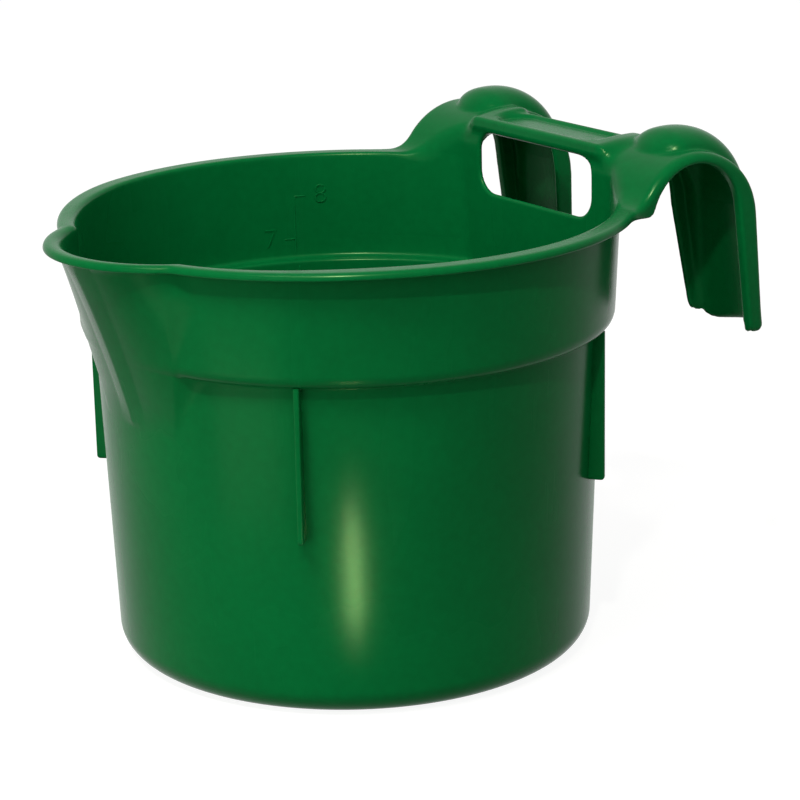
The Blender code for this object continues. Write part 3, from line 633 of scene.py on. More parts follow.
inside = np.concatenate([
    line(LAST_RING, WALL, corner, WALL, 7),
    arc(corner, BASE_ROUND, BASE_ROUND - WALL, -90, 0, 10)[1:],
    wall_line(coarse[::-1], WALL)[1:], wall_line(fine[::-1], WALL),
    arc(LOWER_TOP_RADIUS - WALL + LEDGE_ROUND, LEDGE_TOP - LEDGE_ROUND, LEDGE_ROUND,
        180, 90, 5),
    arc(low - WALL - LEDGE_FILLET, LEDGE_TOP + LEDGE_FILLET, LEDGE_FILLET, -90, 0, 6),
    line(low - WALL + STRAIGHT, LEDGE_TOP + LEDGE_STRAIGHT,
         band_radius(SEAM_HEIGHT) - WALL, SEAM_HEIGHT, 4)[1:]])
print(len(outside), "points down the outside,", len(inside), "up the inside")

# %% [markdown]
# ## The section over the rim
# Over the rim the section is first a rough one of straight lines and arcs, which only
# says how many points go where. Stretched so that it follows wall and edge at every
# angle, it lies close to the true surface, and from there it can settle.

# %% Rough section over the rim
RIM_BEND, RIM_EDGE, RIM_LOW_EDGE, RIM_FILLET = 0.0018, 0.0022, 0.0008, 0.0010
TOP_FROM, TOP_TO, UNDER_FROM, UNDER_TO = 0.0020, 0.0024, 0.0012, 0.0014
UP_TO, DOWN_FROM = 0.0030, 0.0016
out_r, in_r = BAND_TOP_RADIUS, BAND_TOP_RADIUS - WALL
under = RIM_HEIGHT - RIM_THICK
over_rim = np.concatenate([
    line(in_r, SEAM_HEIGHT, in_r, RIM_HEIGHT - UP_TO, 9),
    arc(in_r + RIM_BEND, RIM_HEIGHT - RIM_BEND, RIM_BEND, 180, 90, 7),
    line(in_r + TOP_FROM, RIM_HEIGHT, RIM_RADIUS - TOP_TO, RIM_HEIGHT, 5)[1:],
    arc(RIM_RADIUS - RIM_EDGE, RIM_HEIGHT - RIM_EDGE, RIM_EDGE, 90, 0, 9)[1:],
    arc(RIM_RADIUS - RIM_LOW_EDGE, under + RIM_LOW_EDGE, RIM_LOW_EDGE, 0, -90, 4),
    line(RIM_RADIUS - UNDER_FROM, under, out_r + UNDER_TO, under, 4)[1:],
    arc(out_r + RIM_FILLET, under - RIM_FILLET, RIM_FILLET, 90, 180, 4),
    line(out_r, under - DOWN_FROM, out_r, SEAM_HEIGHT, 10)])
print(len(over_rim), "points over the rim")


# %% Angles round the axis
WIDE, SPOUT_STEP, CORNER_STEP, FLAT_STEP = 1.1, 0.5, 0.35, 1.2


def even(start, end, step):
    """Angles from start to end in steps no wider than step, in degrees."""
    return np.linspace(start, end, int(math.ceil((end - start) / step)) + 1)


front = np.concatenate([even(-180 - SEAM_ANGLE, -124, WIDE), even(-124, -56, SPOUT_STEP)[1:],
                        even(-56, SEAM_ANGLE, WIDE)[1:]])
rear = np.concatenate([even(SEAM_ANGLE, 59, WIDE)[1:], even(59, 66, CORNER_STEP)[1:],
                       even(66, 114, FLAT_STEP)[1:], even(114, 121, CORNER_STEP)[1:],
                       even(121, 180 - SEAM_ANGLE, WIDE)[1:-1]])
turns = np.radians(np.concatenate([front, rear]))
print(len(front), "angles with a rim,", len(rear), "behind the seam")


# %% Carry the sections round
def carry_round(section, depth):
    """Points of a section at every angle: x = r cos a, y = r sin a, z = height."""
    a, r, z = turns[:, None], section[None, :, 0], section[None, :, 1]
    drop = np.maximum(RIM_HEIGHT - z, 0.0) + 0 * a
    r = plan_radius(a + 0 * r, r + 0 * a, drop, SPOUT_FLANGE + depth, BACK_FLAT - depth)
    return np.stack([r * np.cos(a), r * np.sin(a), z + 0 * a], axis=-1)


def rim_stretch(angle, radius):
    """Radius over the rim, bent so that wall and edge both follow the plan: straight from
    inner to outer wall by the share of the wall, and on to the edge by that of the rim."""
    level = np.full_like(angle, RIM_HEIGHT)
    inner, outer = wall_radius(angle, level, WALL), wall_radius(angle, level, 0.0)
    on_wall = (radius - in_r) / WALL
    on_rim = (radius - out_r) / (RIM_RADIUS - out_r)
    return np.where(radius < out_r, inner + (outer - inner) * on_wall,
                    outer + (rim_radius(angle) - outer) * on_rim)


pot_out, pot_in = carry_round(outside, 0.0), carry_round(inside, WALL)
print("outside", pot_out.shape[:2], "and inside", pot_in.shape[:2], "rows and columns")

# %% Stretch the rim and let it settle
HAIR, BELOW_RIM, RIM_ZONE, ROUNDS = 1e-6, 0.001, 0.006, 8
a = turns[:len(front), None] + 0 * over_rim[None, :, 0]
z = over_rim[None, :, 1] + 0 * a
up_inside = over_rim[:, 0] <= in_r + HAIR
down_outside = (over_rim[:, 1] < under - BELOW_RIM) & (over_rim[:, 0] >= out_r - HAIR)
r = rim_stretch(a, over_rim[None, :, 0] + 0 * a)
r = np.where(up_inside, wall_radius(a, z, WALL), r)
r = np.where(down_outside, wall_radius(a, z, 0.0), r)
z = z - FRONT_DROP * front_share(a) * (z > RIM_HEIGHT - RIM_ZONE)
rim = np.stack([r * np.cos(a), r * np.sin(a), z], axis=-1)
flat_rim = rim.reshape(-1, 3)
in_section = [np.stack([np.cos(a), np.sin(a), 0 * a], axis=-1).reshape(-1, 3),
              np.tile([0.0, 0.0, 1.0], (flat_rim.shape[0], 1))]
rim = settle(flat_rim, lambda x, y, z: moulding(x, y, z, False), in_section, ROUNDS)
rim = rim.reshape(len(front), -1, 3)
rim[:, 0], rim[:, -1] = pot_in[:len(front), -1], pot_out[:len(front), 0]
print("rim stands", float(rim[..., 2].max()), "m high")

# %% [markdown]
# ## One mesh for the pot
# Outside, inside and rim end on the same points, so their faces are laid side by side and
# merging sews them together. Behind the seam a strip across the wall's top joins outside
# and inside, hidden in the next piece. The sections start and end 0.4 mm from the axis,
# and the last ring stays open: a pinhole in the middle of the floor and of the base.

# %% Join the pot's surfaces into one mesh
count = len(turns)
n_out, n_in, n_rim = pot_out.shape[1], pot_in.shape[1], rim.shape[1]
points = np.concatenate([pot_out.reshape(-1, 3), pot_in.reshape(-1, 3), rim.reshape(-1, 3)])
out_i = np.arange(count * n_out).reshape(count, n_out)
in_i = np.arange(count * n_in).reshape(count, n_in) + count * n_out
rim_i = np.arange(len(front) * n_rim).reshape(len(front), n_rim) + count * (n_out + n_in)
top = np.stack([out_i[len(front) - 1:, 0], in_i[len(front) - 1:, -1]], axis=1)
top = np.concatenate([top, [[out_i[0, 0], in_i[0, -1]]]])
quads = np.concatenate([grid_quads(np.concatenate([out_i, out_i[:1]])),
                        grid_quads(np.concatenate([in_i, in_i[:1]])),
                        grid_quads(rim_i), grid_quads(top)])
pot_mesh = mesh_from_arrays("pot", points, quads, [rim_i[0], rim_i[-1]])
print("open edges round the two pinholes:", close_up(pot_mesh))
add_piece("pot", pot_mesh, ["base_floor", "base_corner", "lower_wall", "band_left",
                            "band_right", "pour_spout", "rim_flange"])

# %% [markdown]
# ## The ears, hooks, bar and back
# Here a wall, a rim, two straps, a bar and a hole all run into each other with soft
# corners. No single sheet of rows and columns covers that, so the shape is kept as the
# distance function above and a mesh is drawn over the place where the distance is zero:
# one point in every cell of a fine grid that the surface crosses, a face across every
# grid edge that it crosses, and then every point walks onto the true surface. Only one
# half is measured; the other is its mirror image.

# %% Distance with the piece's own limits
OVERLAP, DIP, DIP_WITHIN, BACK_FROM = 0.0012, 0.00005, 0.0006, 0.1200


def back_piece(x, y, z):
    """The moulding behind the seam; past the seam it dips 0.05 mm under the pot's skin."""
    seam = math.radians(SEAM_ANGLE)
    past_side = np.abs(x) * math.sin(seam) - y * math.cos(seam)
    past_low = np.minimum(SEAM_HEIGHT - z, BACK_FROM - y)
    past = np.maximum(past_side, past_low)
    body = moulding(x, y, z, True) + DIP * smooth_step(past, 0.0, DIP_WITHIN)
    return np.maximum(body, past - OVERLAP)


# %% Measure the distance on a grid
CELL, SLABS = 0.00108, 6
low_corner = np.array([CELL / 2, 0.0690, LEG_BOTTOM - 0.0025])
high_corner = np.array([0.1105, 0.1835, RIM_HEIGHT + 0.0325])
axes = [low_corner[i] + CELL * np.arange(int((high_corner[i] - low_corner[i]) / CELL) + 2)
        for i in range(3)]
half = np.concatenate([back_piece(*np.meshgrid(part, axes[1], axes[2], indexing="ij"))
                       for part in np.array_split(axes[0], SLABS)])
values = np.concatenate([half[::-1], half])
start = np.array([-axes[0][-1], axes[1][0], axes[2][0]])
print("grid", values.shape, "inside:", int((values < 0).sum()))


# %% One point per crossed cell, one face per crossed edge
def surface_net(values, start, cell):
    """Points at the mean of the zero crossings on each cell's edges, and quads across
    every grid edge whose two ends lie on different sides."""
    inside = values < 0
    size = np.array(values.shape) - 1
    total = np.zeros(size, dtype=np.int8)
    for i in (0, 1):
        for j in (0, 1):
            for k in (0, 1):
                total += inside[i:i + size[0], j:j + size[1], k:k + size[2]]
    crossed = (total > 0) & (total < 8)
    cells = np.argwhere(crossed)
    index = np.full(size, -1)
    index[crossed] = np.arange(len(cells))
    points, number = np.zeros((len(cells), 3)), np.zeros((len(cells), 1))
    faces, units = [], np.eye(3, dtype=int)
    for axis in range(3):
        across = [(axis + 1) % 3, (axis + 2) % 3]
        unit, one, two = units[axis], units[across[0]], units[across[1]]
        for shift in (0 * one, one, two, one + two):
            near = cells + shift
            far = near + unit
            v0, v1 = values[tuple(near.T)], values[tuple(far.T)]
            hit = ((v0 < 0) != (v1 < 0))[:, None]
            share = np.where(hit[:, 0], v0 / np.where(v0 == v1, 1.0, v0 - v1), 0.0)
            points += hit * (near + share[:, None] * unit)
            number += hit
        first = inside[tuple(slice(0, -1) if a == axis else slice(None) for a in range(3))]
        second = inside[tuple(slice(1, None) if a == axis else slice(None) for a in range(3))]
        edges = np.argwhere(first != second)
        keep = np.all((edges[:, across] > 0) & (edges[:, across] < size[across]), axis=1)
        edges = edges[keep]
        ring = [edges - one - two, edges - two, edges, edges - one]
        quad = np.stack([index[tuple(c.T)] for c in ring], axis=1)
        turned = first[tuple(edges.T)]
        faces.append(np.where(turned[:, None], quad, quad[:, ::-1]))
    return start + cell * points / number, np.concatenate(faces)


net_points, net_quads = surface_net(values, start, CELL)
print("net:", len(net_points), "points,", len(net_quads), "faces")

# %% [markdown]
# ## Evening out the net
# The net's points sit near the surface but not on it, and unevenly. So each point moves
# towards the middle of its neighbours, only along the surface, and then walks back onto
# it. After a few rounds the faces are even squares on the exact shape.

# %% Slope of the distance and middle of the neighbours
PULL, SWEEPS, SLOPE_NUDGE = 0.6, 3, 3e-5


def unit_slope(points, distance):
    """Unit vector along which the distance grows fastest, by differences."""
    slope = np.stack([distance(*(points + SLOPE_NUDGE * way).T)
                      - distance(*(points - SLOPE_NUDGE * way).T) for way in AXES], axis=1)
    return slope / np.maximum(np.linalg.norm(slope, axis=1, keepdims=True), 1e-12)


def neighbour_middle(points, quads):
    """Mean of the points that share an edge with each point."""
    total, number = np.zeros_like(points), np.zeros(len(points))
    for i in range(4):
        here, there = quads[:, i], quads[:, (i + 1) % 4]
        for axis in range(3):
            total[:, axis] += np.bincount(here, points[there, axis], len(points))
            total[:, axis] += np.bincount(there, points[here, axis], len(points))
        number += np.bincount(here, minlength=len(points))
        number += np.bincount(there, minlength=len(points))
    return total / number[:, None]


# %% Even out the net and settle it on the surface
hook_points = settle(net_points, back_piece, AXES, 2)
for _ in range(SWEEPS):
    outward = unit_slope(hook_points, back_piece)
    pull = neighbour_middle(hook_points, net_quads) - hook_points
    pull -= outward * np.sum(pull * outward, axis=1, keepdims=True)
    hook_points = settle(hook_points + PULL * pull, back_piece, AXES, 1)
hook_points = settle(hook_points, back_piece, AXES, 2)
hook_normals = unit_slope(hook_points, back_piece)
error = np.abs(back_piece(*hook_points.T))
print("off the surface by", float(np.percentile(error, 99)), "m at most for 99 in 100")

# %% The hooks and the back as one piece
side_nodes = ["ear_", "ear_lip_", "hook_crown_", "hook_inner_flange_", "hook_outer_flange_"]
hook_mesh = mesh_from_arrays("hooks_and_back", hook_points, net_quads)
hook_mesh.shade_smooth()
hook_mesh.normals_split_custom_set_from_vertices(hook_normals.tolist())
corners = hook_points[net_quads]
facing = np.cross(corners[:, 2] - corners[:, 0], corners[:, 3] - corners[:, 1])
agree = np.sum(facing * hook_normals[net_quads[:, 0]], axis=1) > 0
print("faces that look outwards:", float(agree.mean()))
add_piece("hooks_and_back", hook_mesh,
          [node + side for node in side_nodes for side in ("left", "right")]
          + ["back_panel", "grip_bar"])

# %% [markdown]
# ## Stacking ribs
# Four upright fins under the band keep stacked buckets from jamming. Each is a thin
# rounded bar set into the wall: a round-cornered section carried up the wall, drawn in at
# its lower end so that the corner there is round too.

# %% Ribs
RIB_THICK, RIB_TIP, RIB_LOW = 0.0028, 0.1228, RIM_HEIGHT - 0.1242
RIB_ROUND, RIB_SUNK, RIB_SQUARE, RIB_INTO_BAND = 0.0016, 0.0014, 0.35, 0.0006
RIB_ANGLES = {"rear_right": 38.0, "rear_left": 142.0, "front_left": 229.3, "front_right": 315.6}


def squared(wave):
    """A sine or cosine held near its ends, so that a circle becomes nearly a square."""
    return np.sign(wave) * np.abs(wave) ** RIB_SQUARE


def rib_mesh(name, degrees):
    """Section: x = half * cos^0.35, reach * sin^0.35, carried from the foot to the band."""
    t = np.radians(np.arange(0, 360, 6.0))[None, :]
    rise = np.array([0.0, 0.0001, 0.0004, 0.0009, RIB_ROUND, 0.0025, 0.01, 0.03, 0.06,
                     BAND_BOTTOM + RIB_INTO_BAND - RIB_LOW])[:, None]
    below = ((RIB_ROUND - rise) / RIB_ROUND).clip(0)
    draw = RIB_ROUND * np.sqrt(np.clip(1 - below ** 2, 0, 1)) - RIB_ROUND
    foot = lower_radius(RIB_LOW + rise) - RIB_SUNK
    middle, reach = (RIB_TIP + draw + foot) / 2, (RIB_TIP + draw - foot) / 2
    along = middle + reach * squared(np.cos(t))
    across = (RIB_THICK / 2 + 0.5 * draw) * squared(np.sin(t))
    c, s = math.cos(math.radians(degrees)), math.sin(math.radians(degrees))
    return tube_mesh(name, np.stack([along * c - across * s, along * s + across * c,
                                     RIB_LOW + rise + 0 * along], axis=-1))


for place, degrees in RIB_ANGLES.items():
    add_piece("rib_" + place + "_fin", rib_mesh("rib_" + place, degrees), ["rib_" + place])

# %% [markdown]
# ## The quart scale
# Inside the wall a fine upright line carries a tick for every quart, in turn to one side
# and the other, with its number beyond it. They stand a third of a millimetre proud. The
# line and ticks are low ridges; the numbers are outline letters turned into a mesh, bent
# round the wall and given a rounded edge.

# %% A place on the inner wall
SCALE_ANGLE, SCALE_TOP, SCALE_PITCH, SCALE_MARKS = 158.6, RIM_HEIGHT - 0.0213, 0.0217, 8
LEDGE_ENDS, LEDGE_BEGINS = 0.0008, 0.0012


def inner_wall(height):
    """Radius of the inner face at a height, on the band, on the ledge and below it."""
    band = band_radius(height) - WALL
    below = lower_radius(height) - WALL
    share = smooth_step(height, LEDGE_TOP - LEDGE_ENDS, LEDGE_TOP + LEDGE_BEGINS)
    return below + (band - below) * share


def on_wall(u, v, proud):
    """Point of the inner wall: u metres along it from the scale's line, v its height."""
    a = math.radians(SCALE_ANGLE) - u / (LOWER_TOP_RADIUS - WALL)
    r = inner_wall(v) - proud
    return np.stack([r * np.cos(a), r * np.sin(a), v + 0 * a], axis=-1)


marks = SCALE_TOP - SCALE_PITCH * np.arange(SCALE_MARKS)
sides = np.where(np.arange(SCALE_MARKS) % 2 == 0, 1, -1)
print("marks from", float(marks[-1]), "to", float(marks[0]), "m above the base")

# %% Ridges of the scale
RIDGE, RIDGE_PROUD, SKIN_LIFT, RIDGE_SUNK = 0.0008, 0.00030, 0.00006, 0.0004
RIDGE_STEP, TICK, ABOVE_LEDGE, BELOW_LEDGE = 0.0007, 0.0056, 0.0016, 0.0022


def ridge_mesh(name, u0, v0, u1, v1):
    """A half-round ridge between two places: proud = height * sqrt(1 - s^2), ends too."""
    length = math.hypot(u1 - u0, v1 - v0)
    t = np.linspace(0, 1, max(6, int(length / RIDGE_STEP)) + 1)[:, None]
    s = np.linspace(-1, 1, 9)[None, :]
    end = np.clip(np.minimum(t, 1 - t) * length / RIDGE, 0, 1)
    end = np.sqrt(1 - (1 - end) ** 2)
    nu, nv = -(v1 - v0) / length, (u1 - u0) / length
    u = u0 + (u1 - u0) * t + nu * s * RIDGE / 2
    v = v0 + (v1 - v0) * t + nv * s * RIDGE / 2
    proud = RIDGE_PROUD * end * np.sqrt(np.clip(1 - s ** 2, 0, 1)) - SKIN_LIFT
    top = on_wall(u, v, proud)
    low = on_wall(u[:, ::-1], v[:, ::-1], 0 * proud - RIDGE_SUNK)
    return tube_mesh(name, np.concatenate([top, low], axis=1))


parts = [ridge_mesh("scale_line_band", 0, LEDGE_TOP + ABOVE_LEDGE, 0, marks[0] + RIDGE / 2),
         ridge_mesh("scale_line_low", 0, marks[-1] - RIDGE / 2, 0, LEDGE_TOP - BELOW_LEDGE)]
for height, side in zip(marks, sides):
    parts.append(ridge_mesh("tick", 0, height, side * TICK, height))
print(len(parts), "ridges")

# %% Numbers of the scale
NUMBER_AWAY, NUMBER_UP, NUMBER_TALL, SIZE_PER_TALL = 0.0125, 0.0004, 0.0104, 1.38
NUMBER_HALF_THICK, NUMBER_BEVEL, NUMBER_THINNER = 0.00012, 0.00016, -0.00042


def number_mesh(text, u, v, tall):
    """A number as an outline, filled, thickened and bent onto the wall at (u, v)."""
    curve = bpy.data.curves.new("number", "FONT")
    curve.body = text
    curve.size = tall * SIZE_PER_TALL
    curve.align_x, curve.align_y = "CENTER", "CENTER"
    curve.extrude, curve.bevel_depth = NUMBER_HALF_THICK, NUMBER_BEVEL
    curve.bevel_resolution, curve.offset = 1, NUMBER_THINNER
    holder = bpy.data.objects.new("number", curve)
    bpy.context.scene.collection.objects.link(holder)
    mesh = bpy.data.meshes.new_from_object(
        holder.evaluated_get(bpy.context.evaluated_depsgraph_get()))
    bpy.data.objects.remove(holder)
    flat = np.empty(len(mesh.vertices) * 3)
    mesh.vertices.foreach_get("co", flat)
    flat = flat.reshape(-1, 3)
    bent = on_wall(flat[:, 0] + u, flat[:, 1] + v, flat[:, 2] + SKIN_LIFT)
    mesh.vertices.foreach_set("co", bent.ravel())
    mesh.materials.clear()
    close_up(mesh)
    return mesh


for number, (height, side) in enumerate(zip(marks, sides)):
    parts.append(number_mesh(str(SCALE_MARKS - number), side * NUMBER_AWAY, height + NUMBER_UP,
                             NUMBER_TALL))
print(SCALE_MARKS, "numbers,", NUMBER_TALL, "m tall")


# %% Join the scale into one piece
def join_meshes(name, meshes):
    """One mesh that holds all the closed shapes given."""
    shape = bmesh.new()
    for mesh in meshes:
        shape.from_mesh(mesh)
    joined = bpy.data.meshes.new(name)
    shape.to_mesh(joined)
    shape.free()
    return joined


add_piece("quart_scale", join_meshes("quart_scale", parts),
          ["quart_scale_band", "quart_scale_lower"])

# %% [markdown]
# ## The plastic
# The pot is coloured polyethylene straight from the mould: a deep green with a soft
# gloss. Up close the skin has the fine grain of the mould, the flow of the plastic leaves
# the gloss slightly cloudy, and use has left scuffs. Colour, roughness and bump each get
# their own noise, read from the object's own coordinates so that they stay on the part.

# %% Helpers for shader nodes
def add_node(tree, kind, place, **settings):
    """Add a shader node, set its fields, and give it back."""
    made = tree.nodes.new(kind)
    made.location = place
    for key, value in settings.items():
        setattr(made, key, value)
    return made


def ramp_value(tree, source, given, wanted, place):
    """Map a value from the given range to the wanted one, held at the ends."""
    mapped = add_node(tree, "ShaderNodeMapRange", place)
    for socket, value in zip(("From Min", "From Max", "To Min", "To Max"), given + wanted):
        mapped.inputs[socket].default_value = value
    tree.links.new(source, mapped.inputs["Value"])
    return mapped.outputs["Result"]


def two_inputs(tree, operation, first, second, place):
    """The sum, or the larger, of two values."""
    made = add_node(tree, "ShaderNodeMath", place, operation=operation)
    tree.links.new(first, made.inputs[0])
    tree.links.new(second, made.inputs[1])
    return made.outputs["Value"]


def noise(tree, coords, scale, detail, place, stretch=(1, 1, 1)):
    """A noise on object coordinates, stretched along an axis where asked."""
    mapping = add_node(tree, "ShaderNodeMapping", (place[0] - 200, place[1]))
    mapping.inputs["Scale"].default_value = stretch
    tree.links.new(coords, mapping.inputs["Vector"])
    made = add_node(tree, "ShaderNodeTexNoise", place)
    made.inputs["Scale"].default_value = scale
    made.inputs["Detail"].default_value = detail
    tree.links.new(mapping.outputs["Vector"], made.inputs["Vector"])
    return made.outputs["Fac"]


def bump(tree, height, strength, distance, place):
    """A bump node of a strength and a distance in metres, driven by a height."""
    made = add_node(tree, "ShaderNodeBump", place)
    made.inputs["Strength"].default_value = strength
    made.inputs["Distance"].default_value = distance
    tree.links.new(height, made.inputs["Height"])
    return made


# %% [markdown]
# ## Colour, gloss and skin
# A large soft cloud and a fine mottle mix a darker and a lighter green. The cloud also
# moves the roughness a little, and long upright scuffs dull it here and there. Two bumps
# follow: a slow one, the waviness of a cooled wall, and the mould's fine grain. The level
# and tint of the sheen are set far lower than for a bare plastic: the white backdrop
# shows in the sides, and at a full level it would make them much too pale.

# %% Semi-gloss green plastic
GREEN, DARKER, LIGHTER = (0.0008, 0.140, 0.032), (0.80, 0.86, 0.86), (1.20, 1.14, 1.16)
REFRACTION, SHEEN_LEVEL, SHEEN_TINT = 1.49, 0.055, (0.55, 1.0, 0.60, 1.0)
GLOSSIEST, DULLEST, SCUFFED = 0.22, 0.29, 0.10
CLOUD, MOTTLE, GRAIN, SCUFF, WAVE = 14.0, 240.0, 2600.0, 55.0, 26.0


def green_plastic(name):
    """Deep green polyethylene with cloudy gloss, fine grain, scuffs and a wavy wall.

    colour = green mixed from darker to lighter by cloud + mottle, roughness = cloud +
    scuffs, normal = wave bump with a grain bump on it.
    """
    material = bpy.data.materials.new(name)
    material.use_nodes = True
    tree = material.node_tree
    shader = tree.nodes["Principled BSDF"]
    shader.inputs["IOR"].default_value = REFRACTION
    shader.inputs["Specular IOR Level"].default_value = SHEEN_LEVEL
    shader.inputs["Specular Tint"].default_value = SHEEN_TINT
    coords = add_node(tree, "ShaderNodeTexCoord", (-1500, 0)).outputs["Object"]
    cloud = noise(tree, coords, CLOUD, 3.0, (-1000, 500))
    mottle = noise(tree, coords, MOTTLE, 2.0, (-1000, 250))
    grain = noise(tree, coords, GRAIN, 2.0, (-1000, 0))
    scuff = noise(tree, coords, SCUFF, 4.0, (-1000, -250), (1.0, 1.0, 0.12))
    wave = noise(tree, coords, WAVE, 1.0, (-1000, -500))
    tint = add_node(tree, "ShaderNodeMix", (-500, 400), data_type="RGBA")
    for socket, share in (("A", DARKER), ("B", LIGHTER)):
        tint.inputs[socket].default_value = tuple(c * s for c, s in zip(GREEN, share)) + (1,)
    blend = two_inputs(tree, "ADD",
                       ramp_value(tree, cloud, (0.35, 0.65), (0.15, 0.60), (-850, 500)),
                       ramp_value(tree, mottle, (0.3, 0.7), (0.0, 0.30), (-850, 250)),
                       (-700, 400))
    tree.links.new(blend, tint.inputs["Factor"])
    tree.links.new(tint.outputs["Result"], shader.inputs["Base Color"])
    gloss = two_inputs(tree, "ADD",
                       ramp_value(tree, cloud, (0.3, 0.7), (GLOSSIEST, DULLEST), (-600, 100)),
                       ramp_value(tree, scuff, (0.60, 0.74), (0.0, SCUFFED), (-600, -100)),
                       (-300, 0))
    tree.links.new(gloss, shader.inputs["Roughness"])
    wavy = bump(tree, wave, strength=0.30, distance=0.0010, place=(-400, -500))
    grainy = bump(tree, grain, strength=0.35, distance=0.00004, place=(-200, -400))
    tree.links.new(wavy.outputs["Normal"], grainy.inputs["Normal"])
    tree.links.new(grainy.outputs["Normal"], shader.inputs["Normal"])
    return material


plastic = green_plastic("green_plastic_moulded")
for piece in pieces:
    piece.data.materials.clear()
    piece.data.materials.append(plastic)
print("plastic on", len(pieces), "pieces")

# %% [markdown]
# ## A floor that looks white
# The trough stands on a wide sheet of paper. A white sheet would throw white light up
# onto the green, so there are two: the light that bounces meets a grey one, and wherever
# the floor itself is seen, straight, mirrored or through glass, it glows just below white
# with a little plain paper on top, so that the soft shadow of the pot still shows.

# %% Shader helpers for the background
def seen_directly(tree, place):
    """1 for rays that show the background itself: straight, mirrored or through glass."""
    path = add_node(tree, "ShaderNodeLightPath", place)
    seen = two_inputs(tree, "MAXIMUM", path.outputs["Is Camera Ray"],
                      path.outputs["Is Glossy Ray"], (place[0] + 200, place[1]))
    return two_inputs(tree, "MAXIMUM", seen, path.outputs["Is Transmission Ray"],
                      (place[0] + 400, place[1]))


def mixed(tree, factor, first, second, place):
    """A mix of two shaders."""
    mix = add_node(tree, "ShaderNodeMixShader", place)
    for socket, source in zip(mix.inputs, (factor, first, second)):
        tree.links.new(source, socket)
    return mix.outputs["Shader"]


# %% Floor
FLOOR_HALF, FLOOR_HEIGHT = 4, -0.0004
GREY_PAPER, SEEN_PAPER, PAPER_GLOW = (0.18, 0.18, 0.17, 1), (0.24, 0.24, 0.24, 1), 0.90
floor_mesh = bpy.data.meshes.new("studio_floor")
floor_mesh.from_pydata([(x * FLOOR_HALF, y * FLOOR_HALF, FLOOR_HEIGHT)
                        for x, y in ((-1, -1), (1, -1), (1, 1), (-1, 1))], [], [(0, 1, 2, 3)])
floor = bpy.data.objects.new("studio_floor", floor_mesh)
bpy.context.scene.collection.objects.link(floor)
print("floor", 2 * FLOOR_HALF, "m wide")

# %% Paper
paper = bpy.data.materials.new("white_paper")
paper.use_nodes = True
tree = paper.node_tree
plain = tree.nodes["Principled BSDF"]
plain.inputs["Base Color"].default_value = GREY_PAPER
plain.inputs["Roughness"].default_value = 0.9
plain.inputs["Specular IOR Level"].default_value = 0.0
faint = add_node(tree, "ShaderNodeBsdfDiffuse", (0, -300))
faint.inputs["Color"].default_value = SEEN_PAPER
glow = add_node(tree, "ShaderNodeEmission", (0, -500))
glow.inputs["Strength"].default_value = PAPER_GLOW
pale = add_node(tree, "ShaderNodeAddShader", (200, -400))
tree.links.new(faint.outputs["BSDF"], pale.inputs[0])
tree.links.new(glow.outputs["Emission"], pale.inputs[1])
white = mixed(tree, seen_directly(tree, (-600, 300)), plain.outputs["BSDF"],
              pale.outputs["Shader"], (400, 0))
tree.links.new(white, tree.nodes["Material Output"].inputs["Surface"])
floor_mesh.materials.append(paper)
print("paper glows at", PAPER_GLOW)

# %% [markdown]
# ## The room
# The world is split in the same way: a weak, slightly warm light from all round reaches
# the surfaces, and the backdrop that the camera and the reflections see is plain white.

# %% World
ROOM_COLOUR, ROOM_STRENGTH = (1.0, 0.98, 0.95, 1), 0.38
world = bpy.data.worlds.new("studio")
bpy.context.scene.world = world
world.use_nodes = True
tree = world.node_tree
room = tree.nodes["Background"]
room.inputs["Color"].default_value = ROOM_COLOUR
room.inputs["Strength"].default_value = ROOM_STRENGTH
backdrop = add_node(tree, "ShaderNodeBackground", (0, -200))
backdrop.inputs["Color"].default_value = (1, 1, 1, 1)
backdrop.inputs["Strength"].default_value = 1.0
sky = mixed(tree, seen_directly(tree, (-600, 200)), room.outputs["Background"],
            backdrop.outputs["Background"], (300, 0))
tree.links.new(sky, tree.nodes["World Output"].inputs["Surface"])
print("room at", ROOM_STRENGTH)

# %% [markdown]
# ## Lamps
# A broad key lamp, high up to the left of the camera, does most of the lighting. A small
# flash above the camera sharpens the shadows under rim and lips, a wide fill to the left
# opens them again, and a low lamp by the floor brightens the base. Two more lamps light
# nothing and only show as highlights, because they are hidden from diffuse light. Sparkle,
# above the camera, gives the small ones on crowns and bar, and glint, a narrow strip by
# the floor in front of the pot, gives the tall warm one low on the wall.

# %% A lamp that faces a target
def softbox(name, place, target, size, power, colour):
    """A square area lamp at a place, turned to face a target, that the camera can't see."""
    lamp = bpy.data.lights.new(name, "AREA")
    lamp.shape, lamp.size, lamp.energy, lamp.color = "SQUARE", size, power, colour
    holder = bpy.data.objects.new(name, lamp)
    holder.visible_camera = False
    bpy.context.scene.collection.objects.link(holder)
    away = np.array(place, dtype=float) - np.array(target, dtype=float)
    away /= np.linalg.norm(away)
    side = np.cross([0.0, 1.0, 0.0] if abs(away[2]) > 0.9 else [0.0, 0.0, 1.0], away)
    side /= np.linalg.norm(side)
    up = np.cross(away, side)
    rows = np.stack([side, up, away, np.array(place, dtype=float)], axis=1)
    holder.matrix_world = Matrix([list(row) for row in rows] + [[0, 0, 0, 1]])
    print(name, power, "W at", place)
    return holder


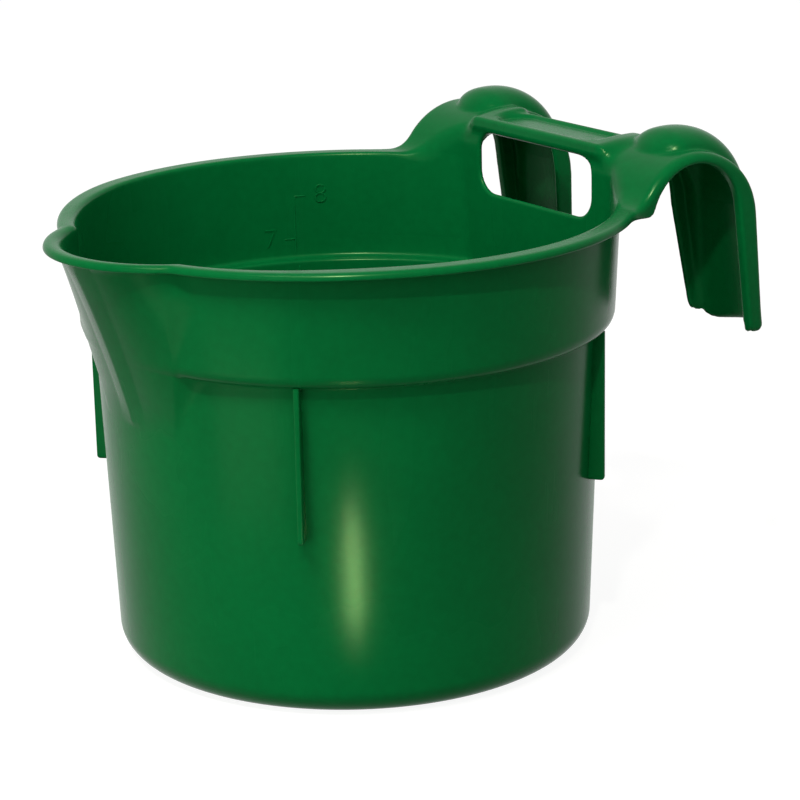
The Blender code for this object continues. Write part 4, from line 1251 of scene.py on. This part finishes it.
# %% Lamps
softbox("key", place=(0.31, -0.85, 1.68), target=(0, 0, 0.12), size=0.40, power=16.0,
        colour=(1.0, 0.98, 0.92))
softbox("flash", place=(0.73, -0.53, 1.22), target=(0, 0, 0.15), size=0.05, power=4.6,
        colour=(1.0, 0.97, 0.88))
softbox("fill", place=(0.50, -1.00, 0.45), target=(0, 0, 0.12), size=0.50, power=1.5,
        colour=(1.0, 0.98, 0.92))
softbox("low", place=(0.10, -0.32, 0.004), target=(0.03, -0.09, 0.06), size=0.16, power=0.22,
        colour=(1.0, 0.95, 0.85))
sparkle = softbox("sparkle", place=(0.70, -0.60, 1.15), target=(0, 0, 0.15), size=0.08,
                  power=60.0, colour=(1.0, 0.76, 0.58))
glint = softbox("glint", place=(0.1706, -0.1146, 0.002), target=(0.094, -0.063, 0.058),
                size=0.012, power=0.064, colour=(1.0, 0.66, 0.44))
glint.data.shape, glint.data.size_y = "RECTANGLE", 0.10
glint.data.spread = math.radians(50)
sparkle.visible_diffuse = glint.visible_diffuse = False

# %% [markdown]
# ## Camera
# The camera stands where the photograph was taken from. Its place and turn were fitted to
# the ellipse of the rim, the base and the hooks. The fit took the rim's radius as one
# and put the camera on the y axis, so its place is scaled and turned round the pot here.

# %% Camera
FOCAL_PIXELS, FRAME_PIXELS, SENSOR = 2748.8, 800, 36.0
PITCH, YAW, ROLL, TURN = 0.2855, 0.0188, -0.0201, math.radians(56.5)
DISTANCE, LIFT, UNIT = 9.2772, 2.0177, 0.13413
camera_data = bpy.data.cameras.new("camera")
camera = bpy.data.objects.new("camera", camera_data)
bpy.context.scene.collection.objects.link(camera)
bpy.context.scene.camera = camera
camera_data.sensor_fit, camera_data.sensor_width = "HORIZONTAL", SENSOR
camera_data.lens = FOCAL_PIXELS / FRAME_PIXELS * SENSOR
camera_data.clip_start, camera_data.clip_end = 0.05, 50.0
spin = np.array([[math.cos(TURN), -math.sin(TURN), 0], [math.sin(TURN), math.cos(TURN), 0],
                 [0, 0, 1]])
look = np.array([math.sin(YAW) * math.cos(PITCH), math.cos(YAW) * math.cos(PITCH),
                 -math.sin(PITCH)])
level = np.cross(look, [0, 0, 1])
level /= np.linalg.norm(level)
upright = np.cross(level, look)
right = spin @ (level * math.cos(ROLL) + upright * math.sin(ROLL))
above = spin @ (upright * math.cos(ROLL) - level * math.sin(ROLL))
look = spin @ look
place = spin @ (np.array([0, -DISTANCE, LIFT]) * UNIT) + np.array([0, 0, RIM_HEIGHT])
rows = np.stack([right, above, -look, place], axis=1)
camera.matrix_world = Matrix([list(row) for row in rows] + [[0, 0, 0, 1]])
print("camera at", place)

# %% [markdown]
# The view transform shows each colour as it was written.

bpy.context.scene.view_settings.view_transform = "Standard"
